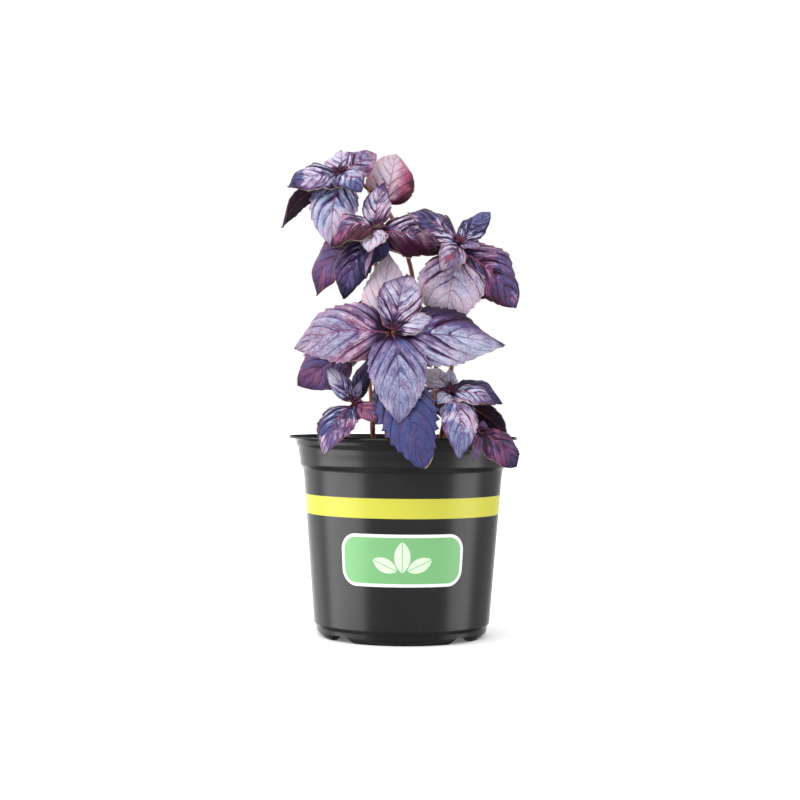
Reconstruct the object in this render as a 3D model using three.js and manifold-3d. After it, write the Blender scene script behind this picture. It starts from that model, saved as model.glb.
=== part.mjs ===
// A purple-leaved basil plant in its round nursery pot.
// Millimetres, +Z up. The origin is on the ground under the middle of the pot; -Y is the front.

import * as THREE from 'three';
import { mergeVertices } from 'three/addons/utils/BufferGeometryUtils.js';
import Module from 'manifold-3d';

const wasm = await Module();
wasm.setup();

// ---------------------------------------------------------------- driving dimensions

const POT_HEIGHT = 99;
const RIM_RADIUS = 57;
const WALL = 1;
const POT_SIDES = 44; // facets round the pot, shared with the soil so that their walls stay parallel
const GAP = 0.3; // clearance between neighbours that touch on the real plant

const FOOT_HEIGHT = 4.3; // from the ground to the underside of the floor
const FOOT_INNER_RADIUS = 35; // where the hollow side of the foot ring meets the floor
const STANDING_RADIUS = 37.6; // inner edge of the flat ring that the pot stands on
const NOTCH_MIDDLES = [45, 135, 225, 315]; // degrees round the foot ring
const NOTCH_HALF_WIDTH = 14; // degrees
const DRAIN_RADIUS = 3;
const DRAIN_RING_RADIUS = 38;
const DRAIN_SIDES = 12;
const CUT_MARGIN = 1; // how far a cutting shape reaches past what it cuts

const SOIL_TOP = 86;
const SOIL_EDGE = 83; // the soil's height where it meets the pot
const SOIL_FLOOR = 6.8;
const SOIL_LUMP = 1.1;
const STEM_FOOT = 64; // where the buried end of each stem sits
const STEM_LEAVES_SOIL = 89; // a stem is straight up to here, so a plain hole fits round it
const HOLE_CLEARANCE = 0.35;
const HOLE_SIDES = 8;
const STEM_SIDES = 6;
const STEM_STEP = 12; // length of stem between two of its sections

const BLADE_THICKNESS = 0.85;
const STALK_THICKNESS = 1.8;
const STALK_SHARE = 0.06; // part of a leaf's length that is stalk, unless the leaf says otherwise
const TIP_HALF_WIDTH = 0.3;
const TOOTH_DEPTH = 0.1; // how far the notches between teeth cut into the half-width
const BLADE_RISE = 0.52; // powers that round a blade's base and draw out its tip
const BLADE_FALL = 0.85;
const FOLD = 0.3; // how far the half-blades lift beside the midrib, as a share of the half-width
const DROOP = 0.45; // how far their margins fall again
const BROAD_BLADE = 25; // a blade wider than this has two columns of faces on each side
const ROWS_BY_LENGTH = [[26, 7], [15, 5], [0, 3]]; // rows of faces along a leaf longer than so many mm

// ---------------------------------------------------------------- solids

// A closed geometry as a solid that can be joined and cut.
function solid(geometry) {
  const bare = geometry.clone();
  bare.deleteAttribute('normal');
  bare.deleteAttribute('uv');
  const merged = mergeVertices(bare, 1e-4);
  return new wasm.Manifold(new wasm.Mesh({
    numProp: 3,
    vertProperties: new Float32Array(merged.attributes.position.array),
    triVerts: new Uint32Array(merged.index.array),
  }));
}

// A solid back as a geometry. Only its largest piece is kept, so a sealed hollow is filled.
function geometryOf(body) {
  const pieces = body.decompose().sort((a, b) => b.volume() - a.volume());
  const mesh = pieces[0].getMesh();
  const geometry = new THREE.BufferGeometry();
  geometry.setAttribute('position', new THREE.BufferAttribute(mesh.vertProperties, 3));
  geometry.setIndex(new THREE.BufferAttribute(mesh.triVerts, 1));
  geometry.computeVertexNormals();
  return geometry;
}

// A round solid about the Z axis from [radius, height] points that start and end on the axis.
function turned(profile) {
  const points = profile.map(([radius, height]) => new THREE.Vector2(radius, height));
  return new THREE.LatheGeometry(points, POT_SIDES).rotateX(Math.PI / 2);
}

// A slice of a flat ring, from one angle to another in degrees, standing between two heights.
function ringSector(inner, outer, from, to, low, high) {
  const [start, end] = [from, to].map(THREE.MathUtils.degToRad);
  const outline = new THREE.Shape();
  outline.absarc(0, 0, outer, start, end, false);
  outline.absarc(0, 0, inner, end, start, true);
  const options = { depth: high - low, bevelEnabled: false, curveSegments: 4 };
  return new THREE.ExtrudeGeometry(outline, options).translate(0, 0, low);
}

// ---------------------------------------------------------------- pot

// The outside of the pot from the foot up: skirt, tapered wall, stepped collar and flat lip.
const OUTSIDE = [
  [40.5, 0], [42.3, 2], [42.8, 5.6], [43.7, 6.4], [49.7, 82.9], [51.2, 84.8],
  [52.3, 93.4], [53.2, 94.8], [53.6, 97.5], [56.6, 97.6], [RIM_RADIUS, 98.1], [56.6, POT_HEIGHT - 0.1],
  [55.9, POT_HEIGHT],
];

// The two ends of the straight inner wall, [radius, height].
const WALL_FOOT = [42.7, 6.7];
const WALL_HEAD = [48.7, 83.2];

// The cavity follows the outside one wall in, and dips into the hollow foot ring.
const CAVITY = [
  [0, FOOT_HEIGHT + WALL], [FOOT_INNER_RADIUS + 1.2, FOOT_HEIGHT + WALL], [38.4, WALL], [40.1, WALL],
  [41.3, 2.5], [41.8, 5.9], WALL_FOOT, WALL_HEAD, [50.2, 85.1], [51.3, 93.6], [52.2, 95.1], [52.6, 98],
  [53.2, POT_HEIGHT + CUT_MARGIN],
];

// The middles of the notches and drain holes round the foot, as [degrees, x, y] on the drain ring.
const footPlaces = NOTCH_MIDDLES.map((middle) => {
  const angle = THREE.MathUtils.degToRad(middle);
  return [middle, DRAIN_RING_RADIUS * Math.cos(angle), DRAIN_RING_RADIUS * Math.sin(angle)];
});

function pot() {
  const under = -CUT_MARGIN;
  const body = solid(turned([[0, 0], ...OUTSIDE, [0, POT_HEIGHT]]));
  const underFloor = solid(turned([
    [0, under], [STANDING_RADIUS, under], [STANDING_RADIUS, 0], [FOOT_INNER_RADIUS, FOOT_HEIGHT],
    [0, FOOT_HEIGHT],
  ]));
  let cavity = solid(turned([...CAVITY, [0, POT_HEIGHT + CUT_MARGIN]]));
  let shell = body.subtract(underFloor);
  const notchFloor = FOOT_INNER_RADIUS - CUT_MARGIN;
  const wallAngle = THREE.MathUtils.radToDeg(WALL / DRAIN_RING_RADIUS);
  for (const [middle] of footPlaces) {
    const [from, to] = [middle - NOTCH_HALF_WIDTH, middle + NOTCH_HALF_WIDTH];
    const notch = ringSector(notchFloor, RIM_RADIUS, from, to, under, FOOT_HEIGHT);
    const kept = ringSector(
      notchFloor - WALL, RIM_RADIUS, from - wallAngle, to + wallAngle, under, FOOT_HEIGHT + WALL,
    );
    shell = shell.subtract(solid(notch));
    cavity = cavity.subtract(solid(kept));
  }
  shell = shell.subtract(cavity);
  for (const [, x, y] of footPlaces) {
    const drain = new THREE.CylinderGeometry(DRAIN_RADIUS, DRAIN_RADIUS, 4 * FOOT_HEIGHT, DRAIN_SIDES);
    shell = shell.subtract(solid(drain.rotateX(Math.PI / 2).translate(x, y, 0)));
  }
  return geometryOf(shell);
}

// ---------------------------------------------------------------- soil

// The soil's top from its edge to its middle, [radius, height], before it is made lumpy.
const CROWN = [[45, SOIL_TOP - 1.2], [30, SOIL_TOP - 0.4], [15, SOIL_TOP + 0.2], [0, SOIL_TOP + 0.4]];

// The radius of the plug at a height, one gap in from the pot's wall.
function soilRadius(height) {
  const share = (height - WALL_FOOT[1]) / (WALL_HEAD[1] - WALL_FOOT[1]);
  return THREE.MathUtils.lerp(WALL_FOOT[0], WALL_HEAD[0], share) - GAP;
}

// The plug of soil, its top lumpy, with a plain hole for each stem.
function soil(stems) {
  const side = [SOIL_FLOOR, SOIL_EDGE].map((height) => [soilRadius(height), height]);
  const plug = turned([[0, SOIL_FLOOR], ...side, ...CROWN]);
  const at = plug.attributes.position;
  for (let i = 0; i < at.count; i++) {
    const [x, y, z] = [at.getX(i), at.getY(i), at.getZ(i)];
    const lump = Math.sin(0.31 * x + 0.9) * Math.cos(0.27 * y) + 0.6 * Math.sin(0.13 * x + 0.41 * y);
    if (z > SOIL_EDGE + GAP) {
      at.setZ(i, z + SOIL_LUMP * lump);
    }
  }
  let body = solid(plug);
  const [bottom, top] = [STEM_FOOT - GAP, POT_HEIGHT];
  for (const { foot, thick } of stems) {
    const radius = thick / 2 + HOLE_CLEARANCE;
    const bore = new THREE.CylinderGeometry(radius, radius, top - bottom, HOLE_SIDES).rotateX(Math.PI / 2);
    body = body.subtract(solid(bore.translate(foot[0], foot[1], (top + bottom) / 2)));
  }
  return geometryOf(body);
}

// ---------------------------------------------------------------- leafy stems

const vector = (xyz) => new THREE.Vector3(...xyz);

// The middle line of a stem: straight up out of its hole, then through the points of its path.
function stemCurve({ foot, path }) {
  const [x, y] = foot;
  const heights = [STEM_FOOT, STEM_LEAVES_SOIL - 10, STEM_LEAVES_SOIL, STEM_LEAVES_SOIL + 3];
  const upright = heights.map((height) => [x, y, height]);
  return new THREE.CatmullRomCurve3([...upright, ...path].map(vector));
}

function stemTube(curve, thick) {
  const corners = [];
  for (let side = 0; side < STEM_SIDES; side++) {
    const angle = side * 2 * Math.PI / STEM_SIDES;
    corners.push(new THREE.Vector2(Math.cos(angle), Math.sin(angle)).multiplyScalar(thick / 2));
  }
  const steps = Math.ceil(curve.getLength() / STEM_STEP);
  const options = { steps, bevelEnabled: false, extrudePath: curve };
  return new THREE.ExtrudeGeometry(new THREE.Shape(corners), options);
}

// Half the width of a blade, as a share of its greatest: rounded at the base, drawn out to the tip.
function outline(u, rise, fall) {
  const peak = rise / (rise + fall);
  return (u / peak) ** rise * ((1 - u) / (1 - peak)) ** fall;
}

// One leaf, stalk and blade, as a closed thin solid. Its midrib runs from root to tip and bows out of
// the straight line by arch towards its upper face and by bend to its side. The upper face looks along
// face, as nearly as the midrib allows. rise and fall shape its outline's base and tip.
function leafSolid(leaf) {
  const { root, tip, face, wide, rows, arch, bend = 0, stalk = STALK_SHARE } = leaf;
  const { rise = BLADE_RISE, fall = BLADE_FALL } = leaf;
  const chord = tip.clone().sub(root);
  const along = chord.clone().normalize();
  const up = face.clone().addScaledVector(along, -face.dot(along)).normalize();
  const aside = along.clone().cross(up);
  const bow = up.clone().multiplyScalar(arch * 4 / 3).addScaledVector(aside, bend * 4 / 3);
  const [first, second] = [1 / 3, 2 / 3].map((share) => root.clone().addScaledVector(chord, share).add(bow));
  const midrib = new THREE.CubicBezierCurve3(root, first, second, tip);

  const columns = wide > BROAD_BLADE ? [-1, -0.5, 0, 0.5, 1] : [-1, 0, 1];
  const top = [];
  const under = [];
  for (let row = -1; row <= rows; row++) {
    const u = Math.max(row, 0) / rows;
    const t = row < 0 ? 0 : stalk + (1 - stalk) * u;
    const tooth = row % 2 === 0 ? 1 - TOOTH_DEPTH : 1;
    const blade = row > 0 && row < rows ? wide / 2 * outline(u, rise, fall) * tooth : 0;
    const half = Math.max(blade, row <= 0 ? STALK_THICKNESS / 2 : TIP_HALF_WIDTH);
    const thinning = Math.min(t / (stalk + 0.1), 1);
    const thick = THREE.MathUtils.lerp(STALK_THICKNESS, BLADE_THICKNESS, thinning);
    const centre = midrib.getPoint(t);
    const forward = midrib.getTangent(t);
    const above = up.clone().addScaledVector(forward, -up.dot(forward)).normalize();
    const right = forward.clone().cross(above);
    for (const s of columns) {
      const lift = row > 0 ? half * (FOLD * Math.abs(s) - DROOP * s * s) : 0;
      const point = centre.clone().addScaledVector(right, half * s).addScaledVector(above, lift);
      top.push(point.clone().addScaledVector(above, thick / 2));
      under.push(point.addScaledVector(above, -thick / 2));
    }
  }
  return solid(skin(top, under, columns.length));
}

// A closed skin over two grids of points that lie back to back. Each cell is split the same way on both
// faces, and the split is mirrored about the middle column.
function skin(top, under, across) {
  const lower = top.length;
  const down = top.length / across;
  const index = [];
  const quad = (a, b, c, d) => index.push(a, b, c, a, c, d);
  for (let row = 0; row < down - 1; row++) {
    for (let column = 0; column < across - 1; column++) {
      const a = row * across + column;
      const cell = [a, a + 1, a + 1 + across, a + across];
      const ordered = column < (across - 1) / 2 ? cell : [...cell.slice(1), cell[0]];
      const [p, q, r, s] = ordered;
      quad(p, q, r, s);
      quad(lower + p, lower + s, lower + r, lower + q);
    }
    const left = row * across;
    const right = left + across - 1;
    quad(left, left + across, lower + left + across, lower + left);
    quad(right + across, right, lower + right, lower + right + across);
  }
  for (let column = 0; column < across - 1; column++) {
    const end = (down - 1) * across + column;
    quad(column + 1, column, lower + column, lower + column + 1);
    quad(end, end + 1, lower + end + 1, lower + end);
  }
  const geometry = new THREE.BufferGeometry();
  const corners = [...top, ...under].flatMap((point) => point.toArray());
  geometry.setAttribute('position', new THREE.Float32BufferAttribute(corners, 3));
  geometry.setIndex(index);
  return geometry;
}

// A stem with every leaf fused to it. A leaf's root is set down along the stem from the growing tip.
function leafyStem({ foot, path, thick, face, leaves }) {
  const curve = stemCurve({ foot, path });
  const length = curve.getLength();
  let body = solid(stemTube(curve, thick));
  for (const leaf of leaves) {
    const root = curve.getPointAt(1 - leaf.down / length);
    const tip = vector(leaf.tip);
    const [, rows] = ROWS_BY_LENGTH.find(([least]) => root.distanceTo(tip) > least);
    body = body.add(leafSolid({ ...leaf, root, tip, rows, face: vector(leaf.face ?? face).normalize() }));
  }
  return geometryOf(body);
}

// ---------------------------------------------------------------- the plants

// Each stem stands at foot, [x, y], and rises through the points of its path. thick is its diameter, and
// face is the way its leaves look, unless a leaf says otherwise. Each leaf starts so many mm down from the
// stem's tip and ends at its own tip. wide is its greatest width, and the rest is told at leafSolid.
const STEMS = [
  {
    name: 'stem_high_left', foot: [6, 6], thick: 2.4, face: [-0.15, -0.7, 0.7],
    path: [[6, 3, 130], [4.5, 0, 168], [4, 0, 178], [2, 0, 187], [-3, 1, 201], [-11, 1, 215], [-22, -1, 225],
      [-33, -6, 229.5]],
    leaves: [
      { down: 2, tip: [-57.5, -16, 221], wide: 21, arch: 3.5, face: [-0.2, -0.8, 0.55] },
      { down: 5, tip: [-60.3, -14, 201.5], wide: 17, arch: 8.5, face: [-0.7, 0.5, 0.5] },
      { down: 3, tip: [-34.5, -16, 191.5], wide: 25, arch: 4, bend: 3, face: [0, -1, 0.2] },
      { down: 2, tip: [-32, 5, 242], wide: 19, arch: 2 },
      { down: 2, tip: [-14.5, 0, 240], wide: 19, arch: 2, face: [0.1, -0.8, 0.6] },
      { down: 1, tip: [-22, -17, 218.5], wide: 18, arch: 4 },
      { down: 30, tip: [-4.8, 7, 241], wide: 25, arch: 2, rise: 0.42, fall: 0.6, face: [0, -1, 0.2] },
      { down: 8, tip: [-36, 26, 226], wide: 17, arch: 5, face: [0, 0.4, 0.9] },
      { down: 40, tip: [7, 28, 202], wide: 15, arch: 4, face: [0, 0.3, 0.9] },
    ],
  },
  {
    name: 'stem_mid_left', foot: [-6, -2], thick: 2.4, face: [-0.05, -0.7, 0.7],
    path: [[-7, -4, 135], [-9, -8, 170], [-12, -15, 193], [-13.4, -20, 201]],
    leaves: [
      { down: 1, tip: [-10, -12, 223.5], wide: 15, arch: 2, bend: -2 },
      { down: 2, tip: [-35.4, -24, 191], wide: 24, arch: 9, face: [-0.4, -0.75, 0.6] },
      { down: 1, tip: [-17.5, -36, 187.5], wide: 15, arch: 3 },
      { down: 4, tip: [-29, -28, 165.5], wide: 19, arch: 4, bend: 3, stalk: 0.2, face: [-0.2, -1, 0.2] },
      { down: 3, tip: [18.5, -13, 189.5], wide: 26, arch: 5, bend: -1.5, face: [0.2, -0.9, 0.5] },
      { down: 3, tip: [-16, -30, 182], wide: 16, arch: 1, face: [0, -1, 0.2] },
      { down: 1, tip: [-19, -34, 176], wide: 6, arch: 1, face: [-0.8, -0.6, 0] },
      { down: 10, tip: [-44, 4, 169.5], wide: 22, arch: 6, bend: 8, stalk: 0.3, face: [-0.3, -0.9, 0.3] },
      { down: 56, tip: [-52, -8, 123.5], wide: 27, arch: 3, bend: 2, stalk: 0.42, face: [-0.1, -1, 0.3] },
    ],
  },
  {
    name: 'stem_mid_right', foot: [13, 3], thick: 2.4, face: [0.1, -0.7, 0.7],
    path: [[15, 2, 120], [19, -4, 160], [24, -13, 184], [26.5, -19, 194]],
    leaves: [
      { down: 1, tip: [1.5, -25, 207.5], wide: 22, arch: 4 },
      { down: 1, tip: [42, -12, 210], wide: 14, arch: 2 },
      { down: 1, tip: [19.5, -36, 182.5], wide: 6, arch: 2 },
      { down: 1, tip: [17, -35, 179], wide: 15, arch: 4, face: [0.3, -0.9, 0.3] },
      { down: 1, tip: [36.5, -28, 191], wide: 8, arch: 1 },
      { down: 5, tip: [19, -27, 151], wide: 34, arch: 5, face: [0, -1, 0.2] },
      { down: 4, tip: [54.5, -14, 162.7], wide: 31.5, arch: 5, bend: -1.6, face: [0.2, -0.9, 0.4] },
    ],
  },
  {
    name: 'stem_front', foot: [-14, -18], thick: 2.6, face: [0.05, -0.75, 0.66],
    path: [[-15, -21, 105], [-12, -29, 130], [-7, -38, 145], [-4.6, -42, 150.5]],
    leaves: [
      { down: 1, tip: [0.5, -28, 177], wide: 23, arch: 5, fall: 0.6 },
      { down: 1, tip: [-11, -38, 160], wide: 7, arch: 1 },
      { down: 1, tip: [13, -40, 156.5], wide: 15, arch: 2 },
      { down: 3, tip: [-52.5, -32, 141], wide: 32, arch: 6, bend: 2.8, face: [-0.1, -1, 0.35] },
      { down: 3, tip: [47.6, -32, 143], wide: 33, arch: 6, fall: 1.1, face: [0.1, -1, 0.35] },
      { down: 2, tip: [-1.8, -59, 106], wide: 29, arch: 5, bend: -0.8, stalk: 0.03, face: [0.05, -1, 0.3] },
      { down: 6, tip: [-7.5, -17, 188.5], wide: 24, arch: 1.5, bend: -2, face: [0, -1, 0.2] },
      { down: 14, tip: [9.8, -63.5, 85.5], wide: 31, arch: 6, bend: -0.3, stalk: 0.14, face: [0, -1, 0.3] },
    ],
  },
  {
    name: 'stem_low_left', foot: [-29, -26], thick: 2.2, face: [-0.1, -0.7, 0.7],
    path: [[-28, -30, 100], [-25, -36, 110], [-23.6, -39, 116]],
    leaves: [
      { down: 1, tip: [-37, -34, 132.5], wide: 11, arch: 2 },
      { down: 1, tip: [-17, -26, 137], wide: 10, arch: 1 },
      { down: 1, tip: [-20.3, -38, 126], wide: 5, arch: 1 },
      { down: 1, tip: [-12.6, -50, 107], wide: 14, arch: 2, face: [0.2, -0.9, 0.5] },
      { down: 2, tip: [-37, -60, 91], wide: 20, arch: 6, face: [-0.3, -1, 0.5] },
    ],
  },
  {
    name: 'stem_low_right', foot: [17, -24], thick: 2.2, face: [0.15, -0.7, 0.7],
    path: [[19, -28, 104], [22, -35, 116], [22.5, -38, 121]],
    leaves: [
      { down: 1, tip: [9, -24, 132], wide: 16, arch: 3 },
      { down: 1, tip: [22, -30, 132], wide: 8, arch: 1 },
      { down: 2, tip: [47, -35, 115.5], wide: 18, arch: 5, bend: -1.5 },
      { down: 1, tip: [43, -46, 115], wide: 15, arch: 4 },
      { down: 1, tip: [16, -47, 115], wide: 9, arch: 2 },
      { down: 2, tip: [25.5, -64, 90], wide: 18.5, arch: 6, bend: -1.8, stalk: 0.1, face: [0.1, -1, 0.4] },
      { down: 4, tip: [50.5, -35, 98], wide: 18, arch: 6, face: [0.5, 0.8, 0.4] },
    ],
  },
  {
    name: 'stem_rim_right', foot: [28, -30], thick: 2, face: [0.3, -0.8, 0.6],
    path: [[30, -34, 99], [33.5, -39.5, 103.5], [36.5, -45, 102]],
    leaves: [
      { down: 1, tip: [53.5, -47, 86], wide: 19, arch: 3 },
      { down: 1, tip: [55, -43, 92], wide: 12, arch: 2 },
      { down: 1, tip: [38, -46, 107.5], wide: 6, arch: 1 },
      { down: 1, tip: [33, -55, 88.5], wide: 6, arch: 2 },
    ],
  },
  {
    name: 'stem_back_high', foot: [-8, 16], thick: 2.4, face: [0, 0.6, 0.8],
    path: [[-10, 18, 130], [-14, 20, 170], [-15, 22, 200], [-15, 24, 208]],
    leaves: [
      { down: 2, tip: [-33, 34, 192], wide: 17, arch: 4, face: [-0.3, 0.8, 0.5] },
      { down: 2, tip: [2, 34, 192], wide: 17, arch: 4, face: [0.3, 0.8, 0.5] },
      { down: 3, tip: [-12, 54, 196], wide: 22, arch: 5 },
      { down: 1, tip: [-15, 22, 222], wide: 12, arch: 2 },
      { down: 34, tip: [-6, 58, 160], wide: 22, arch: 6 },
    ],
  },
  {
    name: 'stem_back_right', foot: [20, 18], thick: 2.4, face: [0.1, 0.6, 0.8],
    path: [[24, 19, 130], [29, 20, 165], [31, 22, 186], [32, 24, 194]],
    leaves: [
      { down: 2, tip: [58.5, 38, 171], wide: 21, arch: 5, face: [0.3, 0.7, 0.6] },
      { down: 2, tip: [11, 36, 178], wide: 19, arch: 4, face: [-0.2, 0.8, 0.5] },
      { down: 3, tip: [36, 58, 176], wide: 26, arch: 6 },
      { down: 1, tip: [32, 20, 209], wide: 13, arch: 2 },
      { down: 40, tip: [37, 57, 141], wide: 22, arch: 6, face: [0.3, 0.8, 0.5] },
    ],
  },
  {
    name: 'stem_back_left', foot: [-15, 12], thick: 2.2, face: [-0.2, 0.6, 0.8],
    path: [[-16, 14, 112], [-19, 20, 138], [-24, 25, 156]],
    leaves: [
      { down: 2, tip: [-52, 36, 140], wide: 24, arch: 6, face: [-0.4, 0.6, 0.7] },
      { down: 2, tip: [2, 40, 142], wide: 22, arch: 5, face: [0.1, 0.7, 0.7] },
      { down: 3, tip: [-30, 61, 134], wide: 28, arch: 6 },
      { down: 1, tip: [-22, 20, 168], wide: 10, arch: 2 },
    ],
  },
  {
    name: 'stem_back_low', foot: [6, 30], thick: 2.2, face: [0.1, 0.75, 0.65],
    path: [[6, 33, 104], [5, 36, 120]],
    leaves: [
      { down: 2, tip: [4, 64, 90], wide: 27, arch: 7 },
      { down: 2, tip: [-17, 52, 104], wide: 18, arch: 4 },
      { down: 2, tip: [34, 50, 108], wide: 20, arch: 5 },
      { down: 1, tip: [5, 30, 134], wide: 12, arch: 2 },
    ],
  },
];

// ---------------------------------------------------------------- finishes and assembly

const potPlastic = new THREE.MeshStandardMaterial({ color: 0x2f2f31, roughness: 0.35, metalness: 0 });
const pottingSoil = new THREE.MeshStandardMaterial({ color: 0x2b211b, roughness: 0.95, metalness: 0 });
const purpleLeaf = new THREE.MeshStandardMaterial({ color: 0x6c5a86, roughness: 0.45, metalness: 0 });

const plant = new THREE.Group();

function place(name, geometry, material) {
  const mesh = new THREE.Mesh(geometry, material);
  mesh.name = name;
  plant.add(mesh);
}

place('pot', pot(), potPlastic);
place('soil', soil(STEMS), pottingSoil);
for (const stem of STEMS) {
  place(stem.name, leafyStem(stem), purpleLeaf);
}

export default plant;
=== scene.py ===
# %% [markdown]
# # A potted purple basil
# This lesson dresses a plain model of a basil plant until it looks like the real one. The plain model is the
# frame: it says where the pot, the soil and each leafy stem are, in metres, with the origin on the ground
# under the pot and -Y towards the viewer. Nothing is moved: finer pieces take the place of the plain ones.

# %% Load the frame
import math
import random
from types import SimpleNamespace

import bmesh
import bpy
from mathutils import Matrix, Vector, noise


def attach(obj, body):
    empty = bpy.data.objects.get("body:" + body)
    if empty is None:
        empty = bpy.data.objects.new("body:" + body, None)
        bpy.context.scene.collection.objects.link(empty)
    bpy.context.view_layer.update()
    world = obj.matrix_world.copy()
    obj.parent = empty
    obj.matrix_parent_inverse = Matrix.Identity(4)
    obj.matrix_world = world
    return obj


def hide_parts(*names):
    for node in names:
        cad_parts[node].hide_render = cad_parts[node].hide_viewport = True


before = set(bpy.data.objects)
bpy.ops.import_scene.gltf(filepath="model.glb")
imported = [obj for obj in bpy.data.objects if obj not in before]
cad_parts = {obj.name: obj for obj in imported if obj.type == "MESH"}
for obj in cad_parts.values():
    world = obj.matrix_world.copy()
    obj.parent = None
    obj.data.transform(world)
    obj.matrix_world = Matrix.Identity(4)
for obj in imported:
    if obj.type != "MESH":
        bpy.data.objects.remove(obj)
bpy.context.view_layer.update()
MM, MM_PER_M = 0.001, 1000.0
SEED = 7
random.seed(SEED)
noise.seed_set(SEED)
print("plain nodes:", ", ".join(sorted(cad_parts)))

# %% [markdown]
# ## Small tools for objects and materials
# A piece is an object that holds a mesh, and a mesh is easiest to shape as a bmesh. A material is a graph of
# nodes, and it could be written link by link, but its sums are easier to read as formulas. So a Number stands
# for a value that the shader works out at each point, and each sum with it adds a Math node.


# %% Objects
def add_object(name, data):
    """Puts a camera, a light or a mesh into the scene."""
    made = bpy.data.objects.new(name, data)
    bpy.context.scene.collection.objects.link(made)
    return made


def object_from(name, bm):
    """Turns a bmesh into an object."""
    mesh = bpy.data.meshes.new(name)
    bm.to_mesh(mesh)
    bm.free()
    return add_object(name, mesh)


def finish_piece(name, bm, materials):
    """Turns a bmesh in metres into a named piece that rides on the only body."""
    piece = object_from(name, bm)
    for material in materials:
        piece.data.materials.append(material)
    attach(piece, "root")
    return piece


def looking_at(place, aim):
    """The matrix of a camera or a light that stands at a place and looks at another."""
    return Matrix.Translation(place) @ (aim - place).to_track_quat("-Z", "Y").to_matrix().to_4x4()


# %% Numbers and nodes
def join(made, joins):
    """Gives each named or numbered input of a node a Number, another node's output or a plain value."""
    for name, value in joins.items():
        value = value.socket if isinstance(value, Number) else value
        if isinstance(value, bpy.types.NodeSocket):
            made.id_data.links.new(value, made.inputs[name])
        else:
            made.inputs[name].default_value = value


def node(tree, kind, joins=None, **settings):
    made = tree.nodes.new("ShaderNode" + kind)
    for name, value in settings.items():
        setattr(made, name, value)
    join(made, joins or {})
    return made


class Number:
    """A value that the shader works out at each point."""

    def __init__(self, socket):
        self.socket = socket

    def math(self, operation, *others):
        joins = dict(enumerate((self, *others)))
        return Number(node(self.socket.id_data, "Math", joins, operation=operation).outputs[0])

    def __add__(self, other):
        return self.math("ADD", other)

    def __sub__(self, other):
        return self.math("SUBTRACT", other)

    def __mul__(self, other):
        return self.math("MULTIPLY", other)

    def __truediv__(self, other):
        return self.math("DIVIDE", other)

    def __abs__(self):
        return self.math("ABSOLUTE")

    def or_more(self, other):
        return self.math("MAXIMUM", other)

    def or_less(self, other):
        return self.math("MINIMUM", other)


# %% Ramps, noise and cells
def ramp(value, low, high, start=0.0, end=1.0):
    """Goes smoothly from start to end while value goes from low to high."""
    joins = {"Value": value, "From Min": low, "From Max": high, "To Min": start, "To Max": end}
    made = node(value.socket.id_data, "MapRange", joins, interpolation_type="SMOOTHSTEP")
    return Number(made.outputs["Result"])


def fade(value, low, high):
    """Goes smoothly from 1 to 0 while value goes from low to high."""
    return ramp(value, low, high, 1.0, 0.0)


def parts(socket, kind="SeparateXYZ"):
    """The three Numbers in a vector, or in a colour."""
    return [Number(part) for part in node(socket.id_data, kind, {0: socket}).outputs]


def object_place(tree):
    """Where a point is on its object, in metres."""
    return node(tree, "TexCoord").outputs["Object"]


def grain(place, scale, detail, **more):
    """Noise at a place, near 0.5."""
    joins = {"Vector": place, "Scale": scale, "Detail": detail, **more}
    return Number(node(place.id_data, "TexNoise", joins).outputs["Fac"])


def stretched(place, share):
    """A place for noise that is drawn out along Z, because Z counts for a share only."""
    return node(place.id_data, "Mapping", {"Vector": place, "Scale": (1.0, 1.0, share)}).outputs[0]


def cells(place, scale, feature="F1"):
    """How far a place is from the middles, or the edges, of cells that fill space."""
    joins = {"Vector": place, "Scale": scale}
    return Number(node(place.id_data, "TexVoronoi", joins, feature=feature).outputs["Distance"])


# %% Colours and materials
MIX_BELOW, MIX_ABOVE, MIX_RESULT = 6, 7, 2  # where a Mix node keeps its colours


def colour(red, green, blue):
    return (red, green, blue, 1.0)


WHITE = colour(1, 1, 1)


def blend(mask, below, above):
    """Shows the colour below where the mask is 0 and the one above where it is 1."""
    joins = {0: mask, MIX_BELOW: below, MIX_ABOVE: above}
    return node(mask.socket.id_data, "Mix", joins, data_type="RGBA").outputs[MIX_RESULT]


def new_material(name):
    """A material, its shader and its tree of nodes."""
    made = bpy.data.materials.new(name)
    made.use_nodes = True
    return made, made.node_tree.nodes["Principled BSDF"], made.node_tree


def add_bump(shader, height, strength, distance):
    joins = {"Height": height, "Strength": strength, "Distance": distance}
    join(shader, {"Normal": node(shader.id_data, "Bump", joins).outputs[0]})


# %% Shared effects
def new_group(name, effect):
    """A node group for an effect that several materials share. It reads a place and puts out Numbers."""
    group = bpy.data.node_groups.new(name, "ShaderNodeTree")
    group.interface.new_socket(name="place", in_out="INPUT", socket_type="NodeSocketVector")
    numbers = effect(group.nodes.new("NodeGroupInput").outputs["place"])
    for socket in numbers:
        group.interface.new_socket(name=socket, in_out="OUTPUT", socket_type="NodeSocketFloat")
    join(group.nodes.new("NodeGroupOutput"), numbers)
    return group


def use_group(tree, group):
    """Places the group in a material and gives its Numbers by name."""
    made = tree.nodes.new("ShaderNodeGroup")
    made.node_tree = group
    join(made, {"place": object_place(tree)})
    return SimpleNamespace(**{socket.name: Number(socket) for socket in made.outputs})


print("white is", WHITE)

# %% [markdown]
# ## The camera
# The photograph was taken from straight ahead, at about the height of the leaves, with a long lens. The
# camera leans half a degree, as the photograph does.

# %% Camera
CAMERA_PLACE = Vector((-1.75, -800, 115)) * MM
CAMERA_AIM = Vector((-1.75, 0, 117)) * MM
CAMERA_LENS = 72
CAMERA_SENSOR = 36
CAMERA_ROLL = math.radians(0.5)
CAMERA_NEAREST = 0.02

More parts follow.
